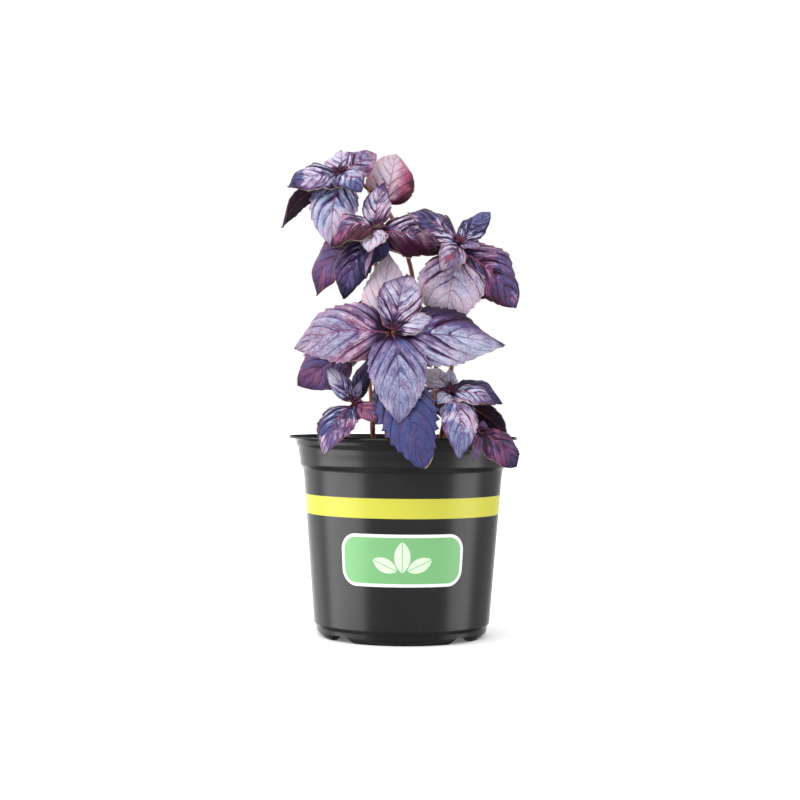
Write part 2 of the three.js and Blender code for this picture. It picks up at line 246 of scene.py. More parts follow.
camera_data = bpy.data.cameras.new("camera")
camera_data.lens = CAMERA_LENS
camera_data.sensor_width = CAMERA_SENSOR
camera_data.clip_start = CAMERA_NEAREST
camera = add_object("camera", camera_data)
camera.matrix_world = looking_at(CAMERA_PLACE, CAMERA_AIM) @ Matrix.Rotation(CAMERA_ROLL, 4, "Z")
bpy.context.scene.camera = camera
print("camera", tuple(round(x, 4) for x in CAMERA_PLACE))

# %% [markdown]
# ## The studio
# The plant stands on a pale floor in a white studio. What a black glossy pot shows is mostly the room round
# it, so the room is painted on the world: dim grey, with a tall lit wall on the left, another on the right, a
# bright back and a bright ceiling. Lamps could do it too, but painted walls give soft, broad reflections
# without noise. One soft box, high on the left, gives the leaves their gentle shadows. The floor is hidden
# from glossy rays, because its mirror image would grey the pot's foot.

# %% Floor
FLOOR_SIZE = 6.0
FLOOR_DIM, FLOOR_BRIGHT = colour(0.85, 0.85, 0.85), colour(0.88, 0.88, 0.88)
FLOOR_GLOW = 0.12


def floor_finish():
    made, shader, tree = new_material("pale_floor")
    speck = grain(object_place(tree), 90.0, 4.0)
    join(shader, {
        "Base Color": blend(ramp(speck, 0.35, 0.65), FLOOR_DIM, FLOOR_BRIGHT), "Roughness": 0.7,
        "Emission Color": WHITE, "Emission Strength": FLOOR_GLOW,
    })
    return made


bm = bmesh.new()
bmesh.ops.create_grid(bm, x_segments=1, y_segments=1, size=FLOOR_SIZE)
floor = finish_piece("floor", bm, [floor_finish()])
floor.visible_glossy = False
print("floor:", FLOOR_SIZE * 2, "m across")

# %% Room and soft box
# Places in the room are degrees round the plant: 0 is the viewer's side and 90 is the right.
ROOM_LIGHT = 0.36
BACK_LIGHT, BACK_EDGES = 1.1, (140, 172)
LEFT_BACK_LIGHT, LEFT_BACK_EDGES = 0.65, (-125, -108)
# The light of each wall, and where it begins, is full, is full still and ends.
WALLS = ((2.85, -112, -98, -54, -42), (2.15, 56, 68, 90, 104))
# Heights are the Z part of a direction: -1 is straight down and 1 straight up.
GROUND_LIGHT, GROUND_EDGES = 0.1, (-0.48, -0.27)
CEILING_LIGHT, CEILING_EDGES = 1.7, (0.35, 0.85)
BOX_AZIMUTH, BOX_HEIGHT, BOX_DISTANCE = -35, 0.85, 0.60
BOX_SIZE = (0.5, 0.4)
BOX_POWER = 3
BOX_AIM = Vector((0, 0, 0.13))


def studio_world():
    """White to the camera. As a light it is a dim room with lit walls, a bright ceiling and a bright back."""
    world = bpy.data.worlds.new("studio")
    bpy.context.scene.world = world
    world.use_nodes = True
    tree = world.node_tree
    across, away, upward = parts(node(tree, "TexCoord").outputs["Generated"])
    azimuth = across.math("ARCTAN2", away * -1.0) * math.degrees(1)
    level = ramp(abs(azimuth), *BACK_EDGES, ROOM_LIGHT, BACK_LIGHT)
    level = level + ramp(azimuth, *LEFT_BACK_EDGES, LEFT_BACK_LIGHT, 0.0)
    for light, start, full, full_end, end in WALLS:
        level = level + ramp(azimuth, start, full) * fade(azimuth, full_end, end) * light
    level = level * ramp(upward, *GROUND_EDGES, GROUND_LIGHT, 1.0)
    overhead = ramp(upward, *CEILING_EDGES)
    strength = node(tree, "Mix", {"Factor": overhead, "A": level, "B": CEILING_LIGHT}).outputs["Result"]
    lit = tree.nodes["Background"]
    join(lit, {"Strength": strength, "Color": WHITE})
    seen = node(tree, "Background", {"Color": WHITE, "Strength": 1.0})
    camera_ray = node(tree, "LightPath").outputs["Is Camera Ray"]
    both = node(tree, "MixShader", {0: camera_ray, 1: lit.outputs[0], 2: seen.outputs[0]})
    join(tree.nodes["World Output"], {"Surface": both.outputs[0]})


def soft_box():
    """A rectangular light that looks at the plant."""
    data = bpy.data.lights.new("high_box", "AREA")
    data.shape = "RECTANGLE"
    data.size, data.size_y = BOX_SIZE
    data.energy = BOX_POWER
    turn = math.radians(BOX_AZIMUTH)
    place = Vector((BOX_DISTANCE * math.sin(turn), -BOX_DISTANCE * math.cos(turn), BOX_HEIGHT))
    box = add_object("high_box", data)
    box.matrix_world = looking_at(place, BOX_AIM)
    box.visible_camera = False
    return box


studio_world()
bpy.context.scene.view_settings.view_transform = "Standard"
print("light:", soft_box().name, "at", BOX_HEIGHT, "m")

# %% [markdown]
# ## The nursery pot
# A nursery pot is one thin sheet of plastic, drawn over a mould: a foot ring with notches that let water out,
# a tapered wall, a stepped collar and a flat lip. A lathe shape suits it, so one outline is spun about the Z
# axis. Every corner of the outline is eased a little, because a moulded edge is never sharp and the bright
# lines on its ledges come from that easing. Then the exact Boolean cuts the notches, the drain holes, the
# hollow under the floor and last the inside. The small cuts come first, while the body is still one plain
# solid: made after the hollow, a notch left a torn edge at the foot.

# %% Pot sizes
POT_HEIGHT = 99
RIM_RADIUS = 57
WALL = 1
POT_STEPS = 160
FOOT_HEIGHT = 4.3
FOOT_INNER_RADIUS = 35
STANDING_RADIUS = 37.6
NOTCH_MIDDLES = (45, 135, 225, 315)
NOTCH_HALF_WIDTH = 14
NOTCH_HEIGHT = 3.0
NOTCH_NARROWING = 0.45
NOTCH_STEPS = 9
DRAIN_RADIUS = 3
DRAIN_RING_RADIUS = 38
DRAIN_DEPTH = 30
DRAIN_SIDES = 32
CUT_MARGIN = 1
CORNER, CORNER_SHARE, CORNER_STEPS = 0.9, 0.4, (0, 0.33, 0.67, 1)
KEPT_WALLS = 3  # how many walls wide the plastic beside each notch is
MERGE_REACH = 1e-6
SMOOTH_BELOW = math.radians(35)

OUTSIDE = [
    (40.5, 0), (42.3, 2), (42.8, 5.6), (43.7, 6.4), (49.15, 77.2), (49.75, 82.9), (51.25, 84.6), (51.4, 87.6),
    (52.05, 91), (52.3, 93.4), (53.2, 94.8), (53.6, 97.5), (56.6, 97.6), (RIM_RADIUS, 98.1),
    (56.6, POT_HEIGHT - 0.1), (55.9, POT_HEIGHT),
]
CAVITY = [
    (36.2, FOOT_HEIGHT + WALL), (38.4, WALL), (40.1, WALL), (41.3, 2.5), (41.8, 5.9), (42.7, 6.7),
    (48.7, 83.2), (50.2, 85.1), (51.3, 93.6), (52.2, 95.1), (52.6, 98), (53.2, POT_HEIGHT + CUT_MARGIN),
]
HOLLOW = [
    (0, -CUT_MARGIN), (STANDING_RADIUS, -CUT_MARGIN), (STANDING_RADIUS, 0), (FOOT_INNER_RADIUS, FOOT_HEIGHT),
    (0, FOOT_HEIGHT),
]


# %% Lathe
def rounded(points, radius):
    """The same outline with each inner corner eased into a short curve."""
    eased = [points[0]]
    for before, corner, after in zip(points, points[1:], points[2:]):
        before, corner, after = Vector(before), Vector(corner), Vector(after)
        reach_in = min(radius, CORNER_SHARE * (before - corner).length)
        reach_out = min(radius, CORNER_SHARE * (after - corner).length)
        start = corner + (before - corner).normalized() * reach_in
        end = corner + (after - corner).normalized() * reach_out
        for t in CORNER_STEPS:
            eased.append(tuple(start.lerp(corner, t).lerp(corner.lerp(end, t), t)))
    return eased + [points[-1]]


def spin(bm, what, turn, steps, whole=False):
    """Spins vertices, edges or faces about the Z axis, and closes what meets."""
    bmesh.ops.spin(bm, geom=what, cent=(0, 0, 0), axis=(0, 0, 1), angle=turn, steps=steps, use_merge=whole)
    bmesh.ops.remove_doubles(bm, verts=bm.verts, dist=MERGE_REACH)
    bmesh.ops.recalc_face_normals(bm, faces=bm.faces)


def turned(name, outline):
    """A round solid about the Z axis, from (radius, height) points that start and end on the axis."""
    bm = bmesh.new()
    corners = [bm.verts.new((radius * MM, 0, height * MM)) for radius, height in outline]
    edges = [bm.edges.new(pair) for pair in zip(corners, corners[1:])]
    spin(bm, corners + edges, math.tau, POT_STEPS, whole=True)
    return object_from(name, bm)


# %% Cutting tools
def ring_slice(name, inner, middle, half_width, low, high):
    """A block cut from a flat ring, by spinning an upright rectangle through part of a turn.

    It reaches past the rim. Its ends lean in, so its top is narrower than its bottom.
    """
    bm = bmesh.new()
    start = math.radians(middle - half_width)
    corners = [(inner, low), (RIM_RADIUS, low), (RIM_RADIUS, high), (inner, high)]
    verts = [bm.verts.new((r * math.cos(start) * MM, r * math.sin(start) * MM, z * MM)) for r, z in corners]
    spin(bm, [bm.faces.new(verts)], math.radians(2 * half_width), NOTCH_STEPS)
    for vert in bm.verts:
        off = math.atan2(vert.co.y, vert.co.x) % math.tau - math.radians(middle)
        if vert.co.z > (low + high) / 2 * MM:
            vert.co = Matrix.Rotation(off * (NOTCH_NARROWING - 1), 3, "Z") @ vert.co
    return object_from(name, bm)


def drain_pin(middle):
    """An upright pin where a drain hole goes."""
    turn = math.radians(middle)
    bm = bmesh.new()
    bmesh.ops.create_cone(
        bm, cap_ends=True, segments=DRAIN_SIDES, radius1=DRAIN_RADIUS * MM, radius2=DRAIN_RADIUS * MM,
        depth=DRAIN_DEPTH * MM,
    )
    away = Vector((math.cos(turn), math.sin(turn), 0)) * DRAIN_RING_RADIUS * MM
    bmesh.ops.translate(bm, verts=bm.verts, vec=away)
    return object_from("drain", bm)


def cut(piece, cutter):
    """Takes the cutter out of the piece, and then removes the cutter."""
    boolean = piece.modifiers.new("cut", "BOOLEAN")
    boolean.operation = "DIFFERENCE"
    boolean.solver = "EXACT"
    boolean.object = cutter
    bpy.context.view_layer.update()
    result = bpy.data.meshes.new_from_object(piece.evaluated_get(bpy.context.evaluated_depsgraph_get()))
    piece.modifiers.clear()
    piece.data = result
    bpy.data.objects.remove(cutter)


# %% Pot shape
def pot_shape():
    body = turned("pot_shell", [(0, 0)] + rounded(OUTSIDE, CORNER) + [(0, POT_HEIGHT)])
    inside = [(0, FOOT_HEIGHT + WALL)] + rounded(CAVITY, CORNER) + [(0, POT_HEIGHT + CUT_MARGIN)]
    cavity = turned("cavity", inside)
    inner = FOOT_INNER_RADIUS - CUT_MARGIN
    wall_width = NOTCH_HALF_WIDTH + KEPT_WALLS * math.degrees(WALL / DRAIN_RING_RADIUS)
    for middle in NOTCH_MIDDLES:
        cut(body, ring_slice("notch", inner, middle, NOTCH_HALF_WIDTH, -CUT_MARGIN, NOTCH_HEIGHT))
        cut(cavity, ring_slice("kept", inner - WALL, middle, wall_width, -CUT_MARGIN, NOTCH_HEIGHT + WALL))
    for middle in NOTCH_MIDDLES:
        cut(body, drain_pin(middle))
    cut(body, turned("hollow", HOLLOW))
    cut(body, cavity)
    return body


pot = pot_shape()
pot.name = "nursery_pot"
bm = bmesh.new()
bm.from_mesh(pot.data)
for face in bm.faces:
    face.smooth = True
for edge in bm.edges:
    edge.smooth = edge.is_manifold and edge.calc_face_angle(0) < SMOOTH_BELOW
print("open edges of the pot:", sum(not edge.is_manifold for edge in bm.edges))
bm.to_mesh(pot.data)
bm.free()
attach(pot, "root")
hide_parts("pot")
print("pot faces:", len(pot.data.polygons))

# %% [markdown]
# ## The pot's plastic and its print
# The plastic is charcoal, almost black, with a satin skin that has faint flow lines and fine scuffs. A yellow
# band is printed round it, and below the band sits a plain green panel with a white edge and a sprig of three
# leaves. A picture could carry the print, but a print has no thickness and its shapes are plain, so they are
# masks made from distances: the distance along the wall and the height give a flat map, and a rounded box or
# an almond is a short formula on that map. The very top of the lip is kept from shining.

# %% Print sizes and inks
PRINT_RADIUS = 46.6
PRINT_BLUR = 0.1
BAND_LOW, BAND_HIGH = 60.9, 70.4
PANEL_MIDDLE = 41.0
PANEL_HALF = (31.0, 12.5)
PANEL_CORNER = 8.0
PANEL_BORDER = 1.5
ALMOND_OFFSET, ALMOND_RADIUS = 0.36, 0.616  # of the two circles, as shares of a printed leaf's length
ALMOND_BLUR, ALMOND_RIB = 0.08, (0.12, 0.28)
# Each leaf of the sprig: its middle along the wall and up it, the way it leans in degrees, and its length.
SPRIG = ((0, 1.6, 90, 15), (-8.4, -2.2, 155, 13), (8.4, -2.2, 25, 13))

PLASTIC_DARK, PLASTIC_LIGHT = colour(0.013, 0.013, 0.014), colour(0.019, 0.019, 0.020)
BAND_YELLOW = colour(0.58, 0.56, 0.05)
PANEL_WHITE = colour(0.84, 0.86, 0.84)
PANEL_GREEN = colour(0.19, 0.46, 0.19)
SPRIG_GREEN = colour(0.66, 0.80, 0.60)
SPRIG_RIB = colour(0.2, 0.5, 0.2)

SATIN, PRINT_DULLS, SCUFF_DULLS = 0.24, 0.08, 0.05
SHINE, SHINE_ENDS = 0.5, (POT_HEIGHT - 0.7, POT_HEIGHT - 0.35)
FLOW_SCALE, FLOW_BUMP = 60.0, (0.12, 0.0004)  # a bump is told by its strength and its height in metres
SCUFF_SCALE, SCUFF_STRETCH = 900.0, 0.12


# %% Almond and box masks
def almond(along, up, middle_along, middle_up, lean, length):
    """Masks for a printed leaf and for its rib. The leaf is the overlap of two equal circles."""
    cosine, sine = math.cos(math.radians(lean)), math.sin(math.radians(lean))
    x, y = along - middle_along, up - middle_up
    lengthways = x * cosine + y * sine
    across = abs(y * cosine - x * sine)
    far = across + ALMOND_OFFSET * length
    edge = (far * far + lengthways * lengthways).math("SQRT") - ALMOND_RADIUS * length
    inside = fade(edge, -ALMOND_BLUR, ALMOND_BLUR)
    return inside, inside * fade(across, *ALMOND_RIB)


def panel_distance(along, up):
    """How far a point is outside the panel's edge, in millimetres. The panel is a box with round corners."""
    x, y = (abs(place) - (half - PANEL_CORNER) for place, half in zip((along, up), PANEL_HALF))
    beyond_x, beyond_y = x.or_more(0.0), y.or_more(0.0)
    beyond = (beyond_x * beyond_x + beyond_y * beyond_y).math("SQRT")
    return beyond + x.or_more(y).or_less(0.0) - PANEL_CORNER


# %% Pot finish
def pot_finish():
    made, shader, tree = new_material("pot_plastic")
    place = object_place(tree)
    x, y, z = parts(place)
    along = x.math("ARCTAN2", y * -1.0) * PRINT_RADIUS
    height = z * MM_PER_M
    up = height - PANEL_MIDDLE
    above_low = ramp(height, BAND_LOW - PRINT_BLUR, BAND_LOW + PRINT_BLUR)
    band = above_low * fade(height, BAND_HIGH - PRINT_BLUR, BAND_HIGH + PRINT_BLUR)
    outside = panel_distance(along, up)
    panel = fade(outside, -PRINT_BLUR, PRINT_BLUR)
    fill = fade(outside, -PANEL_BORDER - PRINT_BLUR, -PANEL_BORDER + PRINT_BLUR)
    (sprig, rib), *others = [almond(along, up, *told) for told in SPRIG]
    for inside, line in others:
        sprig, rib = sprig.or_more(inside), rib.or_more(line)

    flow = grain(place, FLOW_SCALE, 3.0)
    scuff = grain(stretched(place, SCUFF_STRETCH), SCUFF_SCALE, 3.0)
    scuff = ramp(scuff, 0.55, 0.7) * ramp(flow, 0.45, 0.65)
    base = blend(flow, PLASTIC_DARK, PLASTIC_LIGHT)
    inks = (BAND_YELLOW, PANEL_WHITE, PANEL_GREEN, SPRIG_GREEN, SPRIG_RIB)
    for mask, ink in zip((band, panel, fill, sprig, rib), inks):
        base = blend(mask, base, ink)
    join(shader, {
        "Base Color": base, "Roughness": scuff * SCUFF_DULLS + band.or_more(panel) * PRINT_DULLS + SATIN,
        "Specular IOR Level": ramp(height, *SHINE_ENDS, SHINE, 0.0),
    })
    add_bump(shader, flow, *FLOW_BUMP)
    return made


pot.data.materials.clear()
pot.data.materials.append(pot_finish())
print("pot finish:", pot.data.materials[0].name)

# %% [markdown]
# ## The potting soil
# The soil is dark peat with crumbs and a few white grains of perlite. A flat picture would look dead, so a
# round grid gets its lumps from noise, and small rough stones are strewn over it by a seeded draw. It dips
# where it meets the pot. Peat and perlite share one grain, so that grain is a node group.

# %% Soil sizes and colours
SOIL_TOP = 86
SOIL_EDGE_RADIUS = 48.2
SOIL_SPOKES = 96
SOIL_RINGS = 34
SOIL_FLOOR_RADIUS, SOIL_FLOOR = 42.4, 6.8
SOIL_DIP = 2.2
LUMP_HEIGHT, ROUGH_HEIGHT, ROUGH_SCALE = 1.1, 1.2, 0.22
STREWN_MARGIN = 2.5
STONE_LIFT, STONE_ROUGHNESS, STONE_ROUGH_SCALE = 0.25, 0.3, 0.9
CRUMBS, CRUMB_SIZES = 420, (0.5, 1.7)
PERLITE, PERLITE_SIZES = 26, (0.8, 1.8)

PEAT_COLOURS = colour(0.012, 0.008, 0.006), colour(0.06, 0.038, 0.026)
PERLITE_COLOURS = colour(0.5, 0.48, 0.44), colour(0.75, 0.73, 0.7)
SOIL_GRAIN_SCALE, SOIL_CELL_SCALE = 260.0, 520.0
SOIL_DULL, SOIL_BUMP = 0.95, (0.8, 0.0008)


# %% Soil shape
def soil_height(x, y):
    """The height of the soil's top, in millimetres: slow waves, fractal noise and a dip at the pot."""
    lump = math.sin(0.31 * x + 0.9) * math.cos(0.27 * y) + 0.6 * math.sin(0.13 * x + 0.41 * y)
    away = min(math.hypot(x, y) / SOIL_EDGE_RADIUS, 1)
    rough = noise.fractal(Vector((x, y, 0)) * ROUGH_SCALE, 0.6, 2.0, 5)
    return SOIL_TOP + 0.4 - SOIL_DIP * away ** 4 + LUMP_HEIGHT * lump + ROUGH_HEIGHT * rough


def strewn(bm, count, sizes, material_index):
    """Scatters rough grains over the soil's top."""
    for _ in range(count):
        radius = random.uniform(*sizes)
        turn = random.uniform(0, math.tau)
        reach = (SOIL_EDGE_RADIUS - STREWN_MARGIN) * math.sqrt(random.random())
        x, y = reach * math.cos(turn), reach * math.sin(turn)
        # Each stone is squashed, turned, sunk a little into the soil and made uneven.
        squash = Matrix.Diagonal((1, random.uniform(0.6, 1), random.uniform(0.5, 0.8), 1))
        spun = Matrix.Rotation(random.uniform(0, math.tau), 4, "Z")
        place = Matrix.Translation((x, y, soil_height(x, y) + STONE_LIFT * radius)) @ spun @ squash
        stone = bmesh.ops.create_icosphere(bm, subdivisions=1, radius=radius, matrix=place)["verts"]
        for vert in stone:
            vert.co += noise.noise_vector(vert.co * STONE_ROUGH_SCALE) * STONE_ROUGHNESS * radius
        for face in {face for vert in stone for face in vert.link_faces}:
            face.material_index = material_index


def soil_shape():
    bm = bmesh.new()
    bmesh.ops.create_circle(bm, cap_ends=True, cap_tris=True, segments=SOIL_SPOKES, radius=SOIL_EDGE_RADIUS)
    spokes = [edge for edge in bm.edges if not edge.is_boundary]
    bmesh.ops.subdivide_edges(bm, edges=spokes, cuts=SOIL_RINGS, use_grid_fill=True)
    for vert in bm.verts:
        vert.co.z = soil_height(vert.co.x, vert.co.y)
    rim = [edge for edge in bm.edges if edge.is_boundary]
    skirt = bmesh.ops.extrude_edge_only(bm, edges=rim)["geom"]
    for vert in (part for part in skirt if isinstance(part, bmesh.types.BMVert)):
        vert.co = vert.co * (SOIL_FLOOR_RADIUS / SOIL_EDGE_RADIUS)
        vert.co.z = SOIL_FLOOR
    bmesh.ops.holes_fill(bm, edges=[edge for edge in bm.edges if edge.is_boundary], sides=0)
    bmesh.ops.recalc_face_normals(bm, faces=bm.faces)
    for face in bm.faces:
        face.smooth = True
    strewn(bm, CRUMBS, CRUMB_SIZES, 0)
    strewn(bm, PERLITE, PERLITE_SIZES, 1)
    bmesh.ops.scale(bm, verts=bm.verts, vec=(MM, MM, MM))
    return bm


# %% Soil finish
def soil_grain(place):
    coarse = grain(place, SOIL_GRAIN_SCALE, 6.0)
    return {"coarse": coarse, "height": coarse + cells(place, SOIL_CELL_SCALE) * 0.5}


def soil_finish(name, group, dark, light):
    made, shader, tree = new_material(name)
    lumps = use_group(tree, group)
    join(shader, {"Base Color": blend(ramp(lumps.coarse, 0.35, 0.7), dark, light), "Roughness": SOIL_DULL})
    add_bump(shader, lumps.height, *SOIL_BUMP)
    return made


soil_group = new_group("soil_grain", soil_grain)
soil = finish_piece("potting_soil", soil_shape(), [
    soil_finish("peat", soil_group, *PEAT_COLOURS), soil_finish("perlite", soil_group, *PERLITE_COLOURS),
])
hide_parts("soil")
print("soil faces:", len(soil.data.polygons))

# %% [markdown]
# ## The plant, leaf by leaf
# Basil grows in whorls: leaves in pairs round a growing tip. Leaves could be strewn by chance, but each one
# in the photograph has a place, so each leafy stem is told by its foot, its thickness, the way it looks, the
# points of its path, and its leaves. A leaf starts so many millimetres down from the stem's tip and ends at
# its own tip. wide is its greatest width, arch and bend bow its midrib, and face is the way it looks.
#
# Two sets of four numbers tell its colour. tone is how pale it is, how rosy, how blue, and which half gets
# painted shade and how much. paint is how deep the painted shade is at its base, how deep at its tip, how
# creamy its margin, and how bold its streaks are.


# %% How a leaf and a stem are told
def leaf(down, tip, wide, arch, tone, paint, face=None, bend=0.0, stalk=0.06, **more):
    return dict(
        down=down, tip=Vector(tip), wide=wide, arch=arch, tone=tone, paint=paint, face=face, bend=bend,
        stalk=stalk, **more,
    )


STEMS = {}


def stem(name, foot, thick, face, path, *leaves):
    STEMS[name] = dict(foot=foot, thick=thick, face=face, path=path, leaves=leaves)


# %% Stems that the photograph shows
stem(
    "stem_high_left", (6, 6), 2.4, (-0.15, -0.7, 0.7),
    [(6, 3, 130), (4.5, 0, 168), (4, 0, 178), (2, 0, 187), (-3, 1, 201), (-11, 1, 215),
     (-22, -1, 225), (-33, -6, 229.5)],
    leaf(2, (-57.5, -16, 221), 21, 3.5, (0.58, 0.28, 0.85, -0.25), (1.0, 0.5, 0.7, 1.5), (-0.2, -0.8, 0.55)),
    leaf(5, (-60.3, -14, 201.5), 17, 8.5, (0.1, 0.3, 0.3, 0), (0.3, 0, 0, 0.5), (-0.7, 0.5, 0.5)),
    leaf(3, (-34.5, -16, 191.5), 25, 4, (0.71, 0.4, 0.95, 0), (0.3, 0.1, 0.3, 0.8), (0, -1, 0.2), bend=3),
    leaf(2, (-32, 5, 242), 19, 2, (0.78, 0.35, 0.5, 0), (0.7, 0, 0.8, 0.8)),
    leaf(2, (-14.5, 0, 240), 19, 2, (0.58, 0.5, 0.5, 0.2), (0.8, 0.2, 0.5, 1.1), (0.1, -0.8, 0.6)),
    leaf(1, (-22, -17, 218.5), 18, 4, (0.56, 0.3, 0.85, 0), (1.0, 0.2, 0.5, 1.5)),
    leaf(30, (-4.8, 7, 241), 25, 2, (0.90, 1.0, 0.0, 0.7), (0.2, 0.2, 0.8, 0.5), (0, -1, 0.2),
         rise=0.42, fall=0.6, droop=(0.4, 0.8), teeth=0.4),
    leaf(8, (-36, 26, 226), 17, 5, (0.45, 0.5, 0.5, 0), (0.5, 0.2, 0.3, 0.8), (0, 0.4, 0.9)),
    leaf(40, (7, 28, 202), 15, 4, (0.4, 0.5, 0.5, 0), (0.5, 0.2, 0.3, 0.8), (0, 0.3, 0.9)),
)
stem(
    "stem_mid_left", (-6, -2), 2.4, (-0.05, -0.7, 0.7),
    [(-7, -4, 135), (-9, -8, 170), (-12, -15, 193), (-13.4, -20, 201)],
    leaf(1, (-10, -12, 223.5), 15, 2, (0.66, 0.4, 0.5, 0), (0.7, 0.5, 0.2, 1.5), bend=-2),
    leaf(2, (-35.4, -24, 191), 24, 9, (0.52, 0.8, 0.25, -0.9), (0.7, 0.5, 0.5, 2.0), (-0.4, -0.75, 0.6)),
    leaf(1, (-17.5, -36, 187.5), 15, 3, (0.90, 0.35, 0.5, 0), (0.5, 0.1, 0.9, 1.4)),
    leaf(4, (-29, -28, 165.5), 19, 4, (0.17, 0.15, 0.8, 0), (0.5, 0.2, 0.3, 1.35), (-0.2, -1, 0.2),
         bend=3, stalk=0.2, pleat=1.7),
    leaf(3, (18.5, -13, 189.5), 26, 5, (0.58, 0.6, 0.25, 1.0), (0.6, 1.0, 0.6, 1.4), (0.2, -0.9, 0.5),
         bend=-1.5),
    leaf(3, (-16, -30, 182), 16, 1, (0.12, 0.1, 0.9, 0), (0.4, 0, 0.2, 1), (0, -1, 0.2)),
    leaf(1, (-19, -34, 176), 6, 1, (0.6, 0.4, 0.4, 0), (0.3, 0, 0.3, 0.8), (-0.8, -0.6, 0)),
    leaf(10, (-44, 4, 169.5), 22, 6, (0.37, 0.6, 0.25, 0), (0.3, 0.4, 0.1, 0.25), (-0.3, -0.9, 0.3),
         bend=8, stalk=0.3, pleat=0.4, teeth=0.5),
    leaf(56, (-52, -8, 123.5), 27, 3, (0.34, 0.4, 0.5, 0), (0.3, 0.2, 0, 0.35), (-0.1, -1, 0.3),
         bend=2, stalk=0.42, pleat=0.5, teeth=0.5),
)
stem(
    "stem_mid_right", (13, 3), 2.4, (0.1, -0.7, 0.7),
    [(15, 2, 120), (19, -4, 160), (24, -13, 184), (26.5, -19, 194)],
    leaf(1, (1.5, -25, 207.5), 22, 4, (0.42, 0.4, 0.85, 0.35), (0.9, 0.2, 0.4, 2.2)),
    leaf(1, (42, -12, 210), 14, 2, (0.58, 0.2, 0.85, -0.3), (1.0, 0, 0.1, 2.4)),
    leaf(1, (19.5, -36, 182.5), 6, 2, (0.3, 1.0, 0.0, 0), (0.4, 0, 0.9, 0.5)),
    leaf(1, (17, -35, 179), 15, 4, (0.6, 0.4, 0.5, 0), (0.7, 0, 0.8, 1), (0.3, -0.9, 0.3)),
    leaf(1, (36.5, -28, 191), 8, 1, (0.4, 0.3, 0.7, 0), (0.6, 0, 0.3, 1)),
    leaf(5, (19, -27, 151), 34, 5, (0.73, 0.35, 0.4, 0), (0.7, 0.1, 0.1, 0.4), (0, -1, 0.2), pleat=0.35),
    leaf(4, (54.5, -14, 162.7), 31.5, 5, (0.36, 0.55, 0.65, 0.4), (0.7, 0, 0.3, 1.15), (0.2, -0.9, 0.4),
         bend=-1.6),
)
stem(
    "stem_front", (-14, -18), 2.6, (0.05, -0.75, 0.66),
    [(-15, -21, 105), (-12, -29, 130), (-7, -38, 145), (-4.6, -42, 150.5)],
    leaf(1, (0.5, -28, 177), 23, 5, (0.70, 0.2, 0.45, 0), (0.5, 0.3, 0.5, 1.1), fall=0.6),
    leaf(1, (-11, -38, 160), 7, 1, (0.4, 1.0, 0.0, 0), (0.2, 0, 1, 0.5)),
    leaf(1, (13, -40, 156.5), 15, 2, (0.75, 0.2, 0.5, 0), (0.7, 0, 0.7, 0.8)),
    leaf(3, (-52.5, -32, 141), 32, 6, (0.61, 0.45, 0.38, 0), (0.7, 0, 0.2, 0.5), (-0.1, -1, 0.35), bend=2.8),
    leaf(3, (47.6, -32, 143), 33, 6, (0.72, 0.2, 0.65, -0.8), (0.9, 0, 0.1, 0.65), (0.1, -1, 0.35),
         fall=1.1),
    leaf(2, (-1.8, -59, 106), 29, 5, (0.61, 0.15, 0.75, 0), (0.7, 0.1, 0.1, 0.38), (0.05, -1, 0.3), bend=-0.8,
         stalk=0.03, pleat=0.8),
    leaf(6, (-7.5, -17, 188.5), 24, 1.5, (1.0, 0.45, 0.1, 0), (0.3, 0, 0.4, 0.3), (0, -1, 0.2), bend=-2,
         pleat=0.5),
    leaf(14, (9.8, -63.5, 85.5), 31, 6, (0.28, 0.05, 0.95, 0), (0.2, 0, 0, 0.38), (0, -1, 0.3), bend=-0.3,
         stalk=0.14, pleat=0.5, teeth=2.6, fall=0.7),
)
stem(
    "stem_low_left", (-29, -26), 2.2, (-0.1, -0.7, 0.7),
    [(-28, -30, 100), (-25, -36, 110), (-23.6, -39, 116)],
    leaf(1, (-37, -34, 132.5), 11, 2, (0.68, 0.3, 0.8, 0), (0.7, 0.2, 0.2, 1.4)),
    leaf(1, (-17, -26, 137), 10, 1, (0.25, 0.2, 0.8, 0), (0.6, 0, 0.2, 1)),
    leaf(1, (-20.3, -38, 126), 5, 1, (0.6, 0.3, 0.6, 0), (0.6, 0, 0.4, 1)),
    leaf(1, (-12.6, -50, 107), 14, 2, (0.4, 0.9, 0.3, 0), (0.7, 0, 1, 1), (0.2, -0.9, 0.5)),
    leaf(2, (-37, -60, 91), 20, 6, (0.44, 0.5, 0.75, 0), (0.9, 0, 0.3, 2.0), (-0.3, -1, 0.5)),
)
stem(
    "stem_low_right", (17, -24), 2.2, (0.15, -0.7, 0.7),
    [(19, -28, 104), (22, -35, 116), (22.5, -38, 121)],
    leaf(1, (9, -24, 132), 16, 3, (1.0, 0.7, 0.3, 0), (0.2, 0, 0.3, 0.9)),
    leaf(1, (22, -30, 132), 8, 1, (0.85, 0.35, 0.55, 0), (0.4, 0, 0.3, 0.9)),
    leaf(2, (47, -35, 115.5), 18, 5, (0.15, 0.3, 0.7, 0), (0.3, 0, 0.3, 0.8), bend=-1.5),
    leaf(1, (43, -46, 115), 15, 4, (0.76, 0.6, 0.6, 0), (0.9, 0.4, 0.8, 1.9)),
    leaf(1, (16, -47, 115), 9, 2, (0.75, 0.2, 0.6, 0), (0.7, 0, 0.5, 1)),
    leaf(2, (25.5, -64, 90), 18.5, 6, (0.61, 0.4, 0.85, 0), (0.5, 0, 0.2, 1.2), (0.1, -1, 0.4), bend=-1.8,
         stalk=0.1),
    leaf(4, (50.5, -35, 98), 18, 6, (0.1, 0.3, 0.4, 0), (0.3, 0, 0, 0.6), (0.5, 0.8, 0.4)),
)
